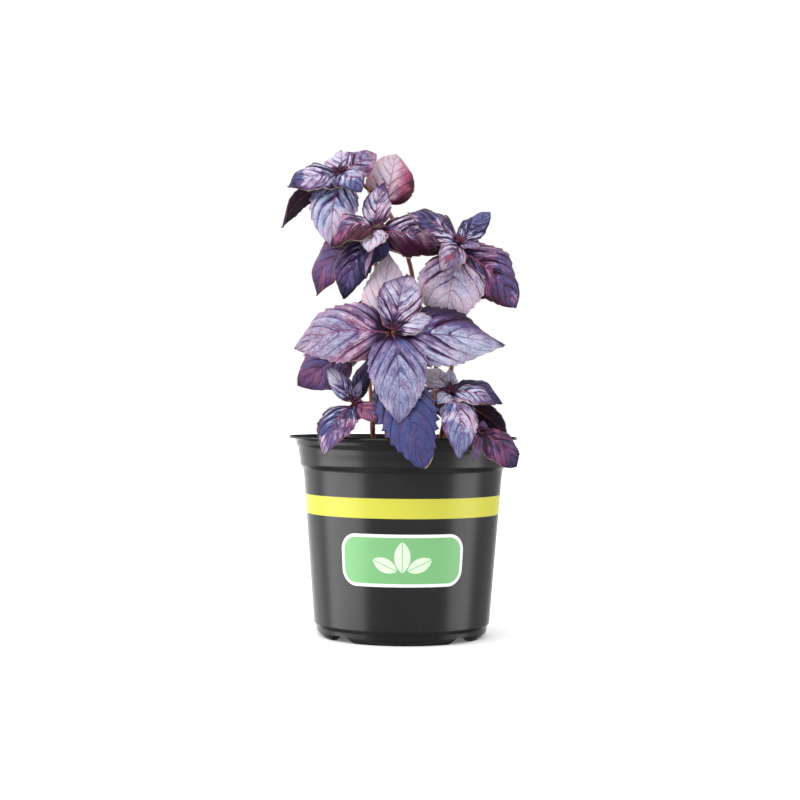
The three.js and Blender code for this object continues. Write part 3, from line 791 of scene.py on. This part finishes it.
stem(
    "stem_rim_right", (28, -30), 2.0, (0.3, -0.8, 0.6),
    [(30, -34, 99), (33.5, -39.5, 103.5), (36.5, -45, 102)],
    leaf(1, (53.5, -47, 86), 19, 3, (0.20, 0.55, 0.55, 0), (0.6, 0, 0.3, 0.9), fall=0.65, teeth=0.4),
    leaf(1, (55, -43, 92), 12, 2, (0.25, 1.0, 0.0, 0), (0.5, 0, 0.1, 0.5)),
    leaf(1, (38, -46, 107.5), 6, 1, (0.3, 0.5, 0.6, 0), (0.5, 0, 0.3, 0.8)),
    leaf(1, (33, -55, 88.5), 6, 2, (0.5, 0.6, 0.3, 0), (0.5, 0, 0.3, 0.8)),
)


# %% Stems at the back
stem(
    "stem_back_high", (-8, 16), 2.4, (0, 0.6, 0.8),
    [(-10, 18, 130), (-14, 20, 170), (-15, 22, 200), (-15, 24, 208)],
    leaf(2, (-33, 34, 192), 17, 4, (0.5, 0.5, 0.5, 0), (0.6, 0.2, 0.3, 1), (-0.3, 0.8, 0.5)),
    leaf(2, (2, 34, 192), 17, 4, (0.6, 0.4, 0.5, 0), (0.6, 0.2, 0.3, 1), (0.3, 0.8, 0.5)),
    leaf(3, (-12, 54, 196), 22, 5, (0.75, 0.5, 0.3, 0), (0.6, 0, 0.3, 0.7)),
    leaf(1, (-15, 22, 222), 12, 2, (0.6, 0.4, 0.4, 0), (0.6, 0.2, 0.3, 1)),
    leaf(34, (-6, 58, 160), 22, 6, (0.7, 0.4, 0.5, 0), (0.6, 0.2, 0.3, 0.7)),
)
stem(
    "stem_back_right", (20, 18), 2.4, (0.1, 0.6, 0.8),
    [(24, 19, 130), (29, 20, 165), (31, 22, 186), (32, 24, 194)],
    leaf(2, (58.5, 38, 171), 21, 5, (0.6, 0.5, 0.4, 0), (0.6, 0.2, 0.3, 1), (0.3, 0.7, 0.6)),
    leaf(2, (11, 36, 178), 19, 4, (0.45, 0.4, 0.7, 0), (0.6, 0.2, 0.3, 1), (-0.2, 0.8, 0.5)),
    leaf(3, (36, 58, 176), 26, 6, (0.78, 0.35, 0.4, 0), (0.6, 0, 0.2, 0.6)),
    leaf(1, (32, 20, 209), 13, 2, (0.5, 0.5, 0.4, 0), (0.6, 0.2, 0.3, 1)),
    leaf(40, (37, 57, 141), 22, 6, (0.6, 0.6, 0.2, 0), (0.6, 0.2, 0.3, 0.7), (0.3, 0.8, 0.5)),
)
stem(
    "stem_back_left", (-15, 12), 2.2, (-0.2, 0.6, 0.8),
    [(-16, 14, 112), (-19, 20, 138), (-24, 25, 156)],
    leaf(2, (-52, 36, 140), 24, 6, (0.7, 0.55, 0.3, 0), (0.6, 0.2, 0.3, 0.9), (-0.4, 0.6, 0.7)),
    leaf(2, (2, 40, 142), 22, 5, (0.45, 0.3, 0.8, 0), (0.6, 0.2, 0.3, 1), (0.1, 0.7, 0.7)),
    leaf(3, (-30, 61, 134), 28, 6, (0.78, 0.4, 0.4, 0), (0.6, 0, 0.2, 0.6)),
    leaf(1, (-22, 20, 168), 10, 2, (0.5, 0.5, 0.5, 0), (0.6, 0.2, 0.3, 1)),
)
stem(
    "stem_back_low", (6, 30), 2.2, (0.1, 0.75, 0.65),
    [(6, 33, 104), (5, 36, 120)],
    leaf(2, (4, 64, 90), 27, 7, (0.74, 0.4, 0.5, 0), (0.6, 0, 0.2, 0.8)),
    leaf(2, (-17, 52, 104), 18, 4, (0.5, 0.6, 0.3, 0), (0.6, 0.2, 0.3, 1)),
    leaf(2, (34, 50, 108), 20, 5, (0.55, 0.4, 0.6, 0), (0.6, 0.2, 0.3, 1)),
    leaf(1, (5, 30, 134), 12, 2, (0.5, 0.5, 0.5, 0), (0.6, 0.2, 0.3, 1)),
)
print("leaves:", sum(len(told["leaves"]) for told in STEMS.values()))

# %% [markdown]
# ## Lines for stems and midribs
# A stem follows a smooth curve through its points. Straight lines would kink, and a plain spline can loop, so
# it is a centripetal spline, which never overshoots between points. A midrib is a single Bezier curve, bowed
# out of the straight line.

# %% Curves
STEM_FOOT = 64
STEM_LEAVES_SOIL = 89
SPAN_STEPS = 12


def spline_span(p0, p1, p2, p3, t):
    """One span of a centripetal spline, from p1 to p2."""
    gaps = [max((b - a).length_squared ** 0.25, 1e-4) for a, b in ((p0, p1), (p1, p2), (p2, p3))]
    leave = ((p1 - p0) / gaps[0] - (p2 - p0) / (gaps[0] + gaps[1]) + (p2 - p1) / gaps[1]) * gaps[1]
    arrive = ((p2 - p1) / gaps[1] - (p3 - p1) / (gaps[1] + gaps[2]) + (p3 - p2) / gaps[2]) * gaps[1]
    square = (p2 - p1) * 3 - leave * 2 - arrive
    cube = (p1 - p2) * 2 + leave + arrive
    return p1 + leave * t + square * t * t + cube * t ** 3


def stem_line(foot, path):
    """Close points along a stem, from its buried foot to its growing tip."""
    heights = (STEM_FOOT, STEM_LEAVES_SOIL - 10, STEM_LEAVES_SOIL, STEM_LEAVES_SOIL + 3)
    points = [Vector((*foot, height)) for height in heights] + [Vector(point) for point in path]
    points = [points[0] * 2 - points[1], *points, points[-1] * 2 - points[-2]]
    line = []
    for span in zip(points, points[1:], points[2:], points[3:]):
        line += [spline_span(*span, step / SPAN_STEPS) for step in range(SPAN_STEPS)]
    return line + [points[-2]]


def point_down(line, down):
    """The point that lies so far down a line from its end, measured along it."""
    for after, before in zip(reversed(line), reversed(line[:-1])):
        step = (after - before).length
        if down <= step:
            return after.lerp(before, down / step)
        down -= step
    return line[0]


def bezier(points, t):
    """A point and a direction on a Bezier curve with four points."""
    a, b, c, d = points
    k = 1 - t
    place = a * k ** 3 + b * 3 * k * k * t + c * 3 * k * t * t + d * t ** 3
    heading = (b - a) * k * k + (c - b) * 2 * k * t + (d - c) * t * t
    return place, heading.normalized()


def square_to(way, heading):
    """The part of a direction that is square to a heading."""
    return (way - heading * way.dot(heading)).normalized()


def midrib_of(root, tip, face, arch, bend):
    """The midrib's four points, and the way the blade's upper side looks."""
    chord = tip - root
    along = chord.normalized()
    up = square_to(face, along)
    bow = up * (arch * 4 / 3) + along.cross(up) * (bend * 4 / 3)
    return (root, root + chord / 3 + bow, root + chord * 2 / 3 + bow, tip), up


for name, told in STEMS.items():
    line = stem_line(told["foot"], told["path"])
    print(name, "tip at", tuple(round(x, 1) for x in line[-1]), "mm, points on its line:", len(line))

# %% [markdown]
# ## The blade
# A basil blade is oval with a drawn-out tip and small saw teeth. Its side veins leave the midrib at a slant
# and sink into grooves, and the blade swells between them like a quilt. It could be sculpted by hand, but a
# grid has just the right layout for this: one direction runs along the leaf and the other across it. Each
# vertex is moved to its place, and what the finish needs is kept on it: its place on the leaf, its place
# among the veins, the leaf's tone and paint, and a number that no other leaf has.

# %% Blade sizes
VEINS, VEIN_SPACING = 3.6, 26
VEIN_LEAD, VEIN_CURVE, VEIN_CROWD = 0.5, 1.2, 1.35
VEIN_WANDER, VEIN_PARTING, PARTING_REACH = 0.3, 0.175, 0.08
BLADE_RISE, BLADE_FALL = 0.52, 0.85
BASE_HALF, TIP_HALF = 0.9, 0.05
TEETH_PER_MM = 0.24
TOOTH_DEPTH = 0.1
FOLD, DROOP = 0.3, 0.45
PLEAT = 0.07
WAVE, WAVES = 0.045, 2.2
BLADE_THICKNESS = 0.5
ROWS_PER_MM, LEAST_ROWS, MOST_ROWS = 1.5, 20, 84
HALF_COLUMNS_PER_MM, LEAST_HALF, MOST_HALF = 0.6, 5, 18


# %% Outline and veins
def between(value, least, most):
    return min(max(value, least), most)


def smooth(value, low, high):
    t = between((value - low) / (high - low), 0.0, 1.0)
    return t * t * (3 - 2 * t)


def outline(u, rise, fall):
    """The share of its greatest width that a blade has at u, from 0 at its base to 1 at its tip."""
    peak = rise / (rise + fall)
    return (max(u, 0.0) / peak) ** rise * (max(1 - u, 0.0) / (1 - peak)) ** fall


def vein_phase(s, u, veins, seed):
    """Goes up by one from each side vein to the next. Veins lean towards the tip as they go out."""
    bent = VEIN_WANDER * noise.noise(Vector((2.3 * u, 1.1 * s, seed)))
    parted = (VEIN_PARTING if s < 0 else -VEIN_PARTING) * min(abs(s) / PARTING_REACH, 1.0)
    return veins * (u ** VEIN_CROWD - VEIN_LEAD * abs(s) ** VEIN_CURVE) + bent + parted


# %% Blade shape
def blade_layers(bm):
    """What each vertex of a blade keeps for the finish."""
    layers = bm.verts.layers
    return dict(
        phase=layers.float.new("vein_phase"), rib=layers.float.new("rib_distance"),
        seed=layers.float.new("leaf_seed"), tone=layers.float_color.new("tone"),
        paint=layers.float_color.new("paint"), place=layers.float_vector.new("blade_place"),
        map=bm.loops.layers.uv.new("LeafMap"),
    )


def add_blade(bm, keep, root, tip, wide, arch, tone, face, bend, stalk, paint, pleat=1.0, fold=FOLD,
              droop=(DROOP, DROOP), rise=BLADE_RISE, fall=BLADE_FALL, teeth=1.0):
    """Adds one blade to the bmesh, in millimetres, and gives its midrib and the way it looks."""
    points, up = midrib_of(root, tip, face, arch, bend)
    length = (tip - root).length * (1 - stalk)
    rows = int(between(length * ROWS_PER_MM, LEAST_ROWS, MOST_ROWS))
    columns = 2 * int(between(wide * HALF_COLUMNS_PER_MM, LEAST_HALF, MOST_HALF))
    tooth_count = max(round(length * TEETH_PER_MM), 3)
    veins = VEINS + length / VEIN_SPACING
    seed = random.uniform(0, 90)
    shift = random.uniform(0, math.tau)
    kept = dict(seed=seed, tone=(*tone[:3], 0.5 + 0.5 * tone[3]), paint=paint)
    frames = []
    for row in range(rows + 1):
        centre, forward = bezier(points, stalk + (1 - stalk) * row / rows)
        above = square_to(up, forward)
        frames.append((centre, forward.cross(above), above))

    # s runs across the blade, from -1 to 1, and u along it, from 0 to 1.
    grid = bmesh.ops.create_grid(bm, x_segments=columns, y_segments=rows, size=1.0)["verts"]
    for vert in grid:
        s, u = vert.co.x, (vert.co.y + 1) / 2
        centre, right, above = frames[round(u * rows)]
        side = 1 if s > 0 else -1
        # The ends keep a little width.
        half = max(wide / 2 * outline(u, rise, fall), BASE_HALF * (1 - u) ** 2 + TIP_HALF)
        # Teeth cut in at the margin alone, unevenly, and not at the base or the tip.
        tooth = (tooth_count * u + 0.3 * side) % 1.0
        deep = TOOTH_DEPTH * teeth * (0.8 + 0.7 * noise.noise(Vector((6 * u, side, seed))))
        cut_in = deep * (1 - tooth) * abs(s) ** 8 * smooth(u, 0.08, 0.2) * smooth(1 - u, 0.0, 0.08)
        # The blade swells between veins, but less at the midrib, the margin, the base and the tip.
        phase = vein_phase(s, u, veins, seed)
        swell = abs(math.sin(math.pi * phase)) ** 0.8 - 0.5
        swell *= 0.85 + 0.8 * noise.noise(Vector((0.9 * phase, 2.0 * side, seed)))
        swell *= min(abs(s) / 0.2, 1.0) * (1 - 0.75 * abs(s) ** 3)
        swell *= smooth(u, 0.0, 0.12) * (1 - 0.75 * smooth(u, 0.3, 0.9))
        # It folds up along the midrib, droops outwards and waves at the margin.
        lift = half * (fold * abs(s) - (droop[0] if s < 0 else droop[1]) * s * s)
        lift += pleat * PLEAT * wide / 2 * swell
        lift += WAVE * wide * abs(s) ** 3 * math.sin(math.tau * WAVES * u + shift + 1.3 * side)
        vert.co = centre + right * (half * s * (1 - cut_in)) + above * lift
        kept.update(phase=phase, rib=half * abs(s), place=Vector((s, u, 0)))
        for layer, value in kept.items():
            vert[keep[layer]] = value
    for face_made in {made for vert in grid for made in vert.link_faces}:
        face_made.smooth = True
        for loop in face_made.loops:
            spot = loop.vert[keep["place"]]
            loop[keep["map"]].uv = (0.5 + 0.5 * spot.x, spot.y)
    return points, up


print("width of a blade at its middle:", round(outline(0.5, BLADE_RISE, BLADE_FALL), 3))

# %% [markdown]
# ## Stems, leaf stalks and ribs
# Stems, stalks and the rib under each blade are thin rods that taper. A curve with a bevel would do, but a
# basil stem is nearly square, so a rod starts as a rounded square, which is extruded ring by ring along its
# line. Each rod gives its faces back, so that ribs can have a darker finish than stems.

# %% Rods
ROD_SIDES = 12
RIB_SIDES = 8
SQUARENESS = 0.09
STEM_POINT_SPACING = 2.5
STEM_TAPER = 0.25
RIB_STEPS = 16
RIB_RADIUS, RIB_TAPER = 0.85, 0.72
RIB_REACH = 0.8
SMALL_LEAF, SMALL_RIB = 18, 0.6


def add_rod(bm, line, radii, squareness=0.0, sides=ROD_SIDES):
    """Adds a closed rod along a line of points, in millimetres, and gives its faces."""
    ring = bmesh.ops.create_circle(bm, cap_ends=False, segments=sides, radius=1.0)["verts"]
    edges = list({edge for vert in ring for edge in vert.link_edges})
    corners = []
    for vert in ring:
        corners.append(Vector(vert.co) * (1 + squareness * math.cos(4 * math.atan2(vert.co.y, vert.co.x))))
    side = Vector((1, 0, 0))
    rings = [ring]
    for index, (centre, radius) in enumerate(zip(line, radii)):
        heading = (line[min(index + 1, len(line) - 1)] - line[max(index - 1, 0)]).normalized()
        side = square_to(side, heading)
        other = heading.cross(side)
        if index:
            grown = bmesh.ops.extrude_edge_only(bm, edges=edges)["geom"]
            edges = [part for part in grown if isinstance(part, bmesh.types.BMEdge) and part.is_boundary]
            fresh = [part for part in grown if isinstance(part, bmesh.types.BMVert)]
            ring = [min(fresh, key=lambda v, old=old: (v.co - old.co).length_squared) for old in rings[-1]]
            rings.append(ring)
        for vert, corner in zip(ring, corners):
            vert.co = centre + (side * corner.x + other * corner.y) * radius
    bm.faces.new(rings[0])
    bm.faces.new(rings[-1])
    made = list({face for ring in rings for vert in ring for face in vert.link_faces})
    bmesh.ops.recalc_face_normals(bm, faces=made)
    for face in made:
        face.smooth = len(face.verts) == 4
    return made


def thin_out(line, spacing):
    """Fewer points of a line, about so far apart."""
    kept = [line[0]]
    for point in line[1:-1]:
        if (point - kept[-1]).length >= spacing:
            kept.append(point)
    return kept + [line[-1]]


def rib_line(points, up, stalk, share):
    """The stalk and the rib that goes on from it under the blade, with the radius at each point."""
    line, radii = [], []
    for step in range(RIB_STEPS + 1):
        t = step / RIB_STEPS * (stalk + RIB_REACH * (1 - stalk))
        centre, forward = bezier(points, t)
        radius = RIB_RADIUS * (1 - RIB_TAPER * step / RIB_STEPS)
        sunk = smooth(t, stalk * 0.6, stalk + 0.08)
        line.append(centre - square_to(up, forward) * sunk * (radius * 0.7 + 0.4))
        radii.append(radius * share)
    return line, radii


print("a rib ends", round(RIB_RADIUS * (1 - RIB_TAPER), 2), "mm thick from its middle")

# %% [markdown]
# ## The colours of leaves and stems
# The leaves go from slate blue to wine. Purple skin lies in uneven lanes between veins, and painted light and
# shade
# lie over it: a painted highlight on the side of each swelling that looks up, and painted shade on its other
# side, in the vein grooves, in the folds near the base, round the stalk's end, at the tip, in spots by the
# margin and over one half of some blades. A photograph on each leaf would give that at once, but every leaf
# would look alike. So the pattern is worked out from what each blade keeps. One shared node group says where
# a point is on its leaf. The upper finish turns that into a lightness, painted light and shade included, then
# picks a colour between a deep, a middle and a light tone, adds the rosy flush and draws the veins. The
# underside is duller, and the thin cut edge lets light through, so it is pale and greenish.


# %% Leaf figure
VEIN_WIDTHS = (0.055, 0.02)  # at the midrib and at the margin, as shares of the way to the next vein
MIDRIB_WIDTHS = (0.75, 0.25)  # at the base and at the tip, in millimetres
STREAK_SCALE, BROAD_SCALE, NET_SCALE = 5.2, 1.05, 3.4
PATCH_SCALE, BLUSH_SCALE, MOTTLE_SCALE = 62.0, 75.0, 260.0
BLUSH_SHIFT = (0.31, 0.17, 0.23)


def near_line(distance, width):
    """1 on a line, and 0 from its width outwards."""
    return (distance / width * -1.0 + 1.0).or_more(0.0)


def leaf_figure(place):
    """Where a point is on its leaf: on a vein, on a swelling, near the margin."""
    tree = place.id_data
    across, along, _ = parts(node(tree, "UVMap", uv_map="LeafMap").outputs[0])
    phase, seed, from_rib = (
        Number(node(tree, "Attribute", attribute_name=name).outputs["Fac"])
        for name in ("vein_phase", "leaf_seed", "rib_distance")
    )
    side = across * 2.0 - 1.0
    margin = abs(side)
    nearest = phase.math("PINGPONG", 0.5)
    vein = near_line(nearest, ramp(margin, 0.0, 1.0, *VEIN_WIDTHS)) * fade(margin, 0.75, 0.97)
    midrib = near_line(from_rib, ramp(along, 0.0, 1.0, *MIDRIB_WIDTHS))

    # The lit flank is the side of each swelling that looks up and catches the light. It gets a painted
    # highlight, and the rest of the swelling painted shade.
    past = phase.math("FRACT")
    flank = ramp(past, 0.0, 0.1) * fade(past, 0.45, 1.0)

    # Streaks run along the side veins: noise that changes fast from vein to vein and slowly along them.
    sided = side.math("SIGN") * 3.0 + seed
    lane = node(tree, "CombineXYZ", {0: phase, 1: margin * 0.9, 2: sided}).outputs[0]
    streak = grain(lane, STREAK_SCALE, 4.0, Roughness=0.65)
    broad = grain(lane, BROAD_SCALE, 2.0)
    joined = node(tree, "CombineXYZ", {0: phase, 1: margin * 3.0, 2: seed}).outputs[0]
    net = cells(joined, NET_SCALE, "DISTANCE_TO_EDGE")

    # Patches ignore the veins. They are some millimetres wide, and the mottle in them is finer.
    patch = grain(place, PATCH_SCALE, 3.0, Distortion=0.6)
    moved = node(tree, "VectorMath", {0: place, 1: BLUSH_SHIFT}, operation="ADD").outputs[0]
    blush = grain(moved, BLUSH_SCALE, 4.0, Distortion=0.8)
    return dict(
        vein=vein, midrib=midrib, margin=margin, along=along, side=side, flank=flank,
        swell=ramp(nearest, 0.0, 0.13), net=ramp(net, 0.0, 0.16), streak=ramp(streak, 0.3, 0.7),
        broad=ramp(broad, 0.32, 0.68), patch=ramp(patch, 0.32, 0.68), blush=ramp(blush, 0.46, 0.64),
        mottle=grain(place, MOTTLE_SCALE, 6.0, Roughness=0.7),
    )


def leaf_told(tree):
    """The tone and the paint of the leaf that a point is on, as in the tables."""
    tone = node(tree, "Attribute", attribute_name="tone").outputs
    paint = node(tree, "Attribute", attribute_name="paint").outputs
    pale, rosy, blue = parts(tone["Color"], "SeparateColor")
    # The first two numbers of paint and the last of tone set painted shade: at the base, at the tip, on one
    # half.
    painted_base_shade, painted_tip_shade, cream = parts(paint["Color"], "SeparateColor")
    return SimpleNamespace(
        pale=pale, rosy=rosy, blue=blue, painted_half_shade=Number(tone["Alpha"]) * 2.0 - 1.0,
        painted_base_shade=painted_base_shade, painted_tip_shade=painted_tip_shade, cream=cream, bold=Number(paint["Alpha"]),
    )


# %% Leaf colours
# Each pair goes from a rosy leaf to a blue one.
DEEP = colour(0.018, 0.004, 0.016), colour(0.008, 0.006, 0.038)
MIDDLE = colour(0.13, 0.052, 0.14), colour(0.052, 0.064, 0.20)
LIGHT = colour(0.60, 0.49, 0.57), colour(0.45, 0.51, 0.69)
FLUSH_DEEP, FLUSH_MIDDLE = colour(0.05, 0.003, 0.014), colour(0.32, 0.06, 0.14)
FLUSH_LIGHT = colour(0.62, 0.30, 0.37)
# Each pair goes from a leaf with no rose in it to a rosy one.
VEIN_INK = colour(0.03, 0.013, 0.07), colour(0.20, 0.022, 0.07)
MIDRIB_INK = colour(0.06, 0.02, 0.10), colour(0.38, 0.07, 0.14)
CREAM_RIM = colour(0.50, 0.44, 0.27)
UNDER_DARK, UNDER_LIGHT = colour(0.022, 0.008, 0.03), colour(0.26, 0.15, 0.27)
UNDER_VEIN = colour(0.17, 0.04, 0.09)
EDGE_DARK, EDGE_PALE = colour(0.10, 0.02, 0.05), colour(0.36, 0.28, 0.14)
STEM_COLOURS = colour(0.10, 0.025, 0.018), colour(0.27, 0.085, 0.05)
RIB_COLOURS = colour(0.06, 0.012, 0.025), colour(0.17, 0.045, 0.045)
STEM_BLOTCH = colour(0.10, 0.02, 0.07)

# A bump is told by its strength and its height in metres.
UPPER_BUMP, UNDER_BUMP, STEM_BUMP = (0.8, 0.0007), (0.8, 0.0006), (0.4, 0.0003)
EDGE_PATCH_SCALE = 70.0
SKIN_STRETCH, SKIN_SCALE, BLOTCH_SCALE = 0.15, 700.0, 60.0
UNDER_DULL, STEM_DULL = 0.5, 0.45


def leaf_lightness(figure, told):
    """How light a point of the blade is, painted light and shade included: 0 or less in the deepest painted
    shade, 1 or more on the palest swelling.
    """
    # Lanes are pale where streaks, broad bands and swellings meet, and they grow faint towards the tip.
    # Painted shade lies in the grooves at the veins, and a painted highlight on the flank of each swelling
    # that looks up.
    lanes = figure.streak * 0.6 + figure.broad * 0.24 + figure.swell * 0.22 - 0.62
    lanes = lanes + (figure.flank - 0.66) * ramp(figure.patch, 0.3, 1.0, 0.0, 0.65)
    lanes = lanes * ramp(figure.along, 0.2, 0.7, 1.0, 0.22)
    value = (lanes + figure.blush * 0.2 - 0.1) * told.bold + told.pale * 0.95
    value = value + figure.net * 0.10 + figure.mottle * 0.4 - 0.27
    value = value + ramp(figure.along, 0.15, 0.65, -0.05, 0.09)

    # Painted shade lies in the folds near the base, round the stalk's end, at the tip, in spots by the margin
    # and over one half of some blades.
    painted_fold_shade = ramp(figure.broad, 0.15, 0.6, 1.3, 0.0) * fade(figure.along, 0.15, 0.6)
    painted_fold_shade = painted_fold_shade * fade(figure.flank, 0.0, 0.5)
    value = value - (painted_fold_shade + ramp(figure.along, 0.0, 0.2, 0.6, 0.0)) * told.painted_base_shade
    value = value - ramp(figure.along, 0.02, 0.12, 0.7, 0.0)
    value = value - ramp(figure.along, 0.55, 1.0, 0.0, 0.6) * told.painted_tip_shade
    painted_margin_shade = ramp(figure.margin, 0.68, 0.98) * ramp(figure.patch, 0.2, 0.8)
    value = value - painted_margin_shade * ramp(told.bold, 0.7, 1.3, 0.0, 0.5)
    shaded = ramp(told.painted_half_shade * figure.side, 0.0, 1.0, 0.0, 1.3) * ramp(figure.along, 0.45, 0.95, 1.0, 0.3)
    return value - shaded


# %% Leaf finishes
def leaf_upper_finish(group):
    made, shader, tree = new_material("leaf_upper")
    figure, told = use_group(tree, group), leaf_told(tree)
    lightness = leaf_lightness(figure, told)
    lower, upper = ramp(lightness, 0.0, 0.48), ramp(lightness, 0.4, 0.95)
    blue = told.blue + figure.broad * 0.5 - 0.45 + figure.streak * 0.4
    base = blend(upper, blend(lower, blend(blue, *DEEP), blend(blue, *MIDDLE)), blend(blue, *LIGHT))

    # A rosy flush runs in from the margin, fills some of the lanes between veins and tints the half in
    # painted shade.
    flush = figure.blush * 0.85 + ramp(figure.margin, 0.55, 1.0, 0.0, 0.6)
    flush = (flush + ramp(told.painted_half_shade * figure.side, 0.0, 0.5)).or_less(1.0) * told.rosy
    rose = blend(ramp(lightness, 0.0, 0.5), FLUSH_DEEP, FLUSH_MIDDLE)
    base = blend(flush * 0.9, base, blend(upper, rose, FLUSH_LIGHT))

    ink = blend(figure.midrib, blend(told.rosy, *VEIN_INK), blend(ramp(told.rosy, 0.15, 0.6), *MIDRIB_INK))
    veins = (figure.vein * 0.8).or_more(figure.midrib)
    inked = veins * ramp(figure.along, 0.3, 1.0, 0.9, 0.4) * ramp(told.bold, 0.2, 0.6, 0.45, 1.0)
    base = blend(inked, base, ink)
    base = blend(ramp(figure.margin, 0.955, 0.985) * told.cream, base, CREAM_RIM)
    join(shader, {
        "Base Color": base, "Roughness": figure.mottle * 0.25 + 0.22, "Specular IOR Level": 0.2,
    })
    relief = figure.swell * 0.35 + figure.net * 0.10 + figure.streak * 0.2 - veins * 0.3
    add_bump(shader, relief, *UPPER_BUMP)
    return made


def leaf_under_finish(group):
    made, shader, tree = new_material("leaf_under")
    figure, told = use_group(tree, group), leaf_told(tree)
    base = blend(told.pale * 0.7 + figure.mottle * 0.5 - 0.3, UNDER_DARK, UNDER_LIGHT)
    veins = figure.vein.or_more(figure.midrib)
    join(shader, {"Base Color": blend(veins * 0.6, base, UNDER_VEIN), "Roughness": UNDER_DULL})
    add_bump(shader, veins * 0.8 + figure.net * -0.25, *UNDER_BUMP)
    return made


def leaf_edge_finish():
    made, shader, tree = new_material("leaf_edge")
    patch = ramp(grain(object_place(tree), EDGE_PATCH_SCALE, 2.0), 0.56, 0.68)
    join(shader, {"Base Color": blend(patch, EDGE_DARK, EDGE_PALE), "Roughness": UNDER_DULL})
    return made


def stem_streaks(place):
    streaks = grain(stretched(place, SKIN_STRETCH), SKIN_SCALE, 3.0)
    return {"streaks": streaks, "patch": grain(place, BLOTCH_SCALE, 3.0)}


def stem_finish(name, group, dark, light):
    made, shader, tree = new_material(name)
    skin = use_group(tree, group)
    base = blend(ramp(skin.streaks, 0.35, 0.65), dark, light)
    base = blend(ramp(skin.patch, 0.5, 0.75), base, STEM_BLOTCH)
    join(shader, {"Base Color": base, "Roughness": STEM_DULL})
    add_bump(shader, skin.streaks, *STEM_BUMP)
    return made


leaf_group = new_group("leaf_figure", leaf_figure)
streak_group = new_group("stem_streaks", stem_streaks)
LEAF_FINISHES = [leaf_upper_finish(leaf_group), leaf_under_finish(leaf_group), leaf_edge_finish()]
ROD_FINISHES = [
    stem_finish("stem_skin", streak_group, *STEM_COLOURS),
    stem_finish("rib_skin", streak_group, *RIB_COLOURS),
]
print("plant finishes:", [made.name for made in LEAF_FINISHES + ROD_FINISHES])

# %% [markdown]
# ## Putting each leafy stem together
# Each plain stem is replaced by two pieces: its blades, and its rods. Blades are sheets of single faces at
# first, and a Solidify modifier gives them their thickness. Its material offsets put the upper finish on one
# side, the under finish on the other and the pale finish on the edge. A knot of tiny folded leaves closes
# each growing tip.

# %% Growing tips
BUD_LEAVES = 9
BUD_TURN = math.radians(137.5)
BUD_SPREAD, BUD_SPREAD_STEP = 0.95, 0.07
BUD_LENGTH, BUD_LENGTH_STEP = 6.6, 0.45


def bud_leaves(line, face):
    """Tiny leaves round a growing tip, in a spiral, the youngest the smallest and most upright."""
    tip = line[-1]
    heading = (tip - line[-5]).normalized()
    out = (face + heading * 0.6).normalized()
    side = out.orthogonal().normalized()
    other = out.cross(side)
    made = []
    for index in range(BUD_LEAVES):
        turn = index * BUD_TURN
        spread = BUD_SPREAD - BUD_SPREAD_STEP * index
        length = BUD_LENGTH - BUD_LENGTH_STEP * index
        aim = (side * math.cos(turn) + other * math.sin(turn)) * spread + out * (1.15 - spread)
        made.append(dict(
            root=tip - heading * 0.5, tip=tip + aim.normalized() * length, wide=length * 0.5,
            arch=length * 0.1, tone=(0.08 + 0.11 * (index % 3), 0.6, 0.4, 0.0), face=out, bend=0.0,
            stalk=0.04, pleat=0.6, fold=0.9, paint=(0.6, 0.0, 0.6, 0.8),
        ))
    return made


# %% Leafy stems
def leafy_stem(name, foot, path, thick, face, leaves):
    line = stem_line(foot, path)
    facing = Vector(face).normalized()
    blades, rods = bmesh.new(), bmesh.new()
    keep = blade_layers(blades)
    stem_points = thin_out(line, STEM_POINT_SPACING)
    count = len(stem_points)
    radii = [thick / 2 * (1 - STEM_TAPER * index / count) for index in range(count)]
    add_rod(rods, stem_points, radii, SQUARENESS)
    for told in leaves:
        shape = dict(told)
        root = point_down(line, shape.pop("down"))
        shape["face"] = Vector(shape["face"]).normalized() if shape["face"] else facing
        points, up = add_blade(blades, keep, root=root, **shape)
        share = SMALL_RIB if (shape["tip"] - root).length < SMALL_LEAF else 1.0
        for rib_face in add_rod(rods, *rib_line(points, up, shape["stalk"], share), sides=RIB_SIDES):
            rib_face.material_index = 1
    for bud in bud_leaves(line, facing):
        add_blade(blades, keep, **bud)
    for edge in blades.edges:
        edge.smooth = not edge.is_boundary
    for bm in (blades, rods):
        bmesh.ops.scale(bm, verts=bm.verts, vec=(MM, MM, MM))
    leaf_piece = finish_piece(name.replace("stem", "leaves"), blades, LEAF_FINISHES)
    thicken = leaf_piece.modifiers.new("thickness", "SOLIDIFY")
    thicken.thickness = BLADE_THICKNESS * MM
    thicken.offset = -1
    thicken.material_offset, thicken.material_offset_rim = 1, 2
    rod_piece = finish_piece(name.replace("stem", "stalks"), rods, ROD_FINISHES)
    for piece in (leaf_piece, rod_piece):
        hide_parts(name)
        print(piece.name, len(piece.data.polygons), "faces")


for name, told in STEMS.items():
    leafy_stem(name, **told)
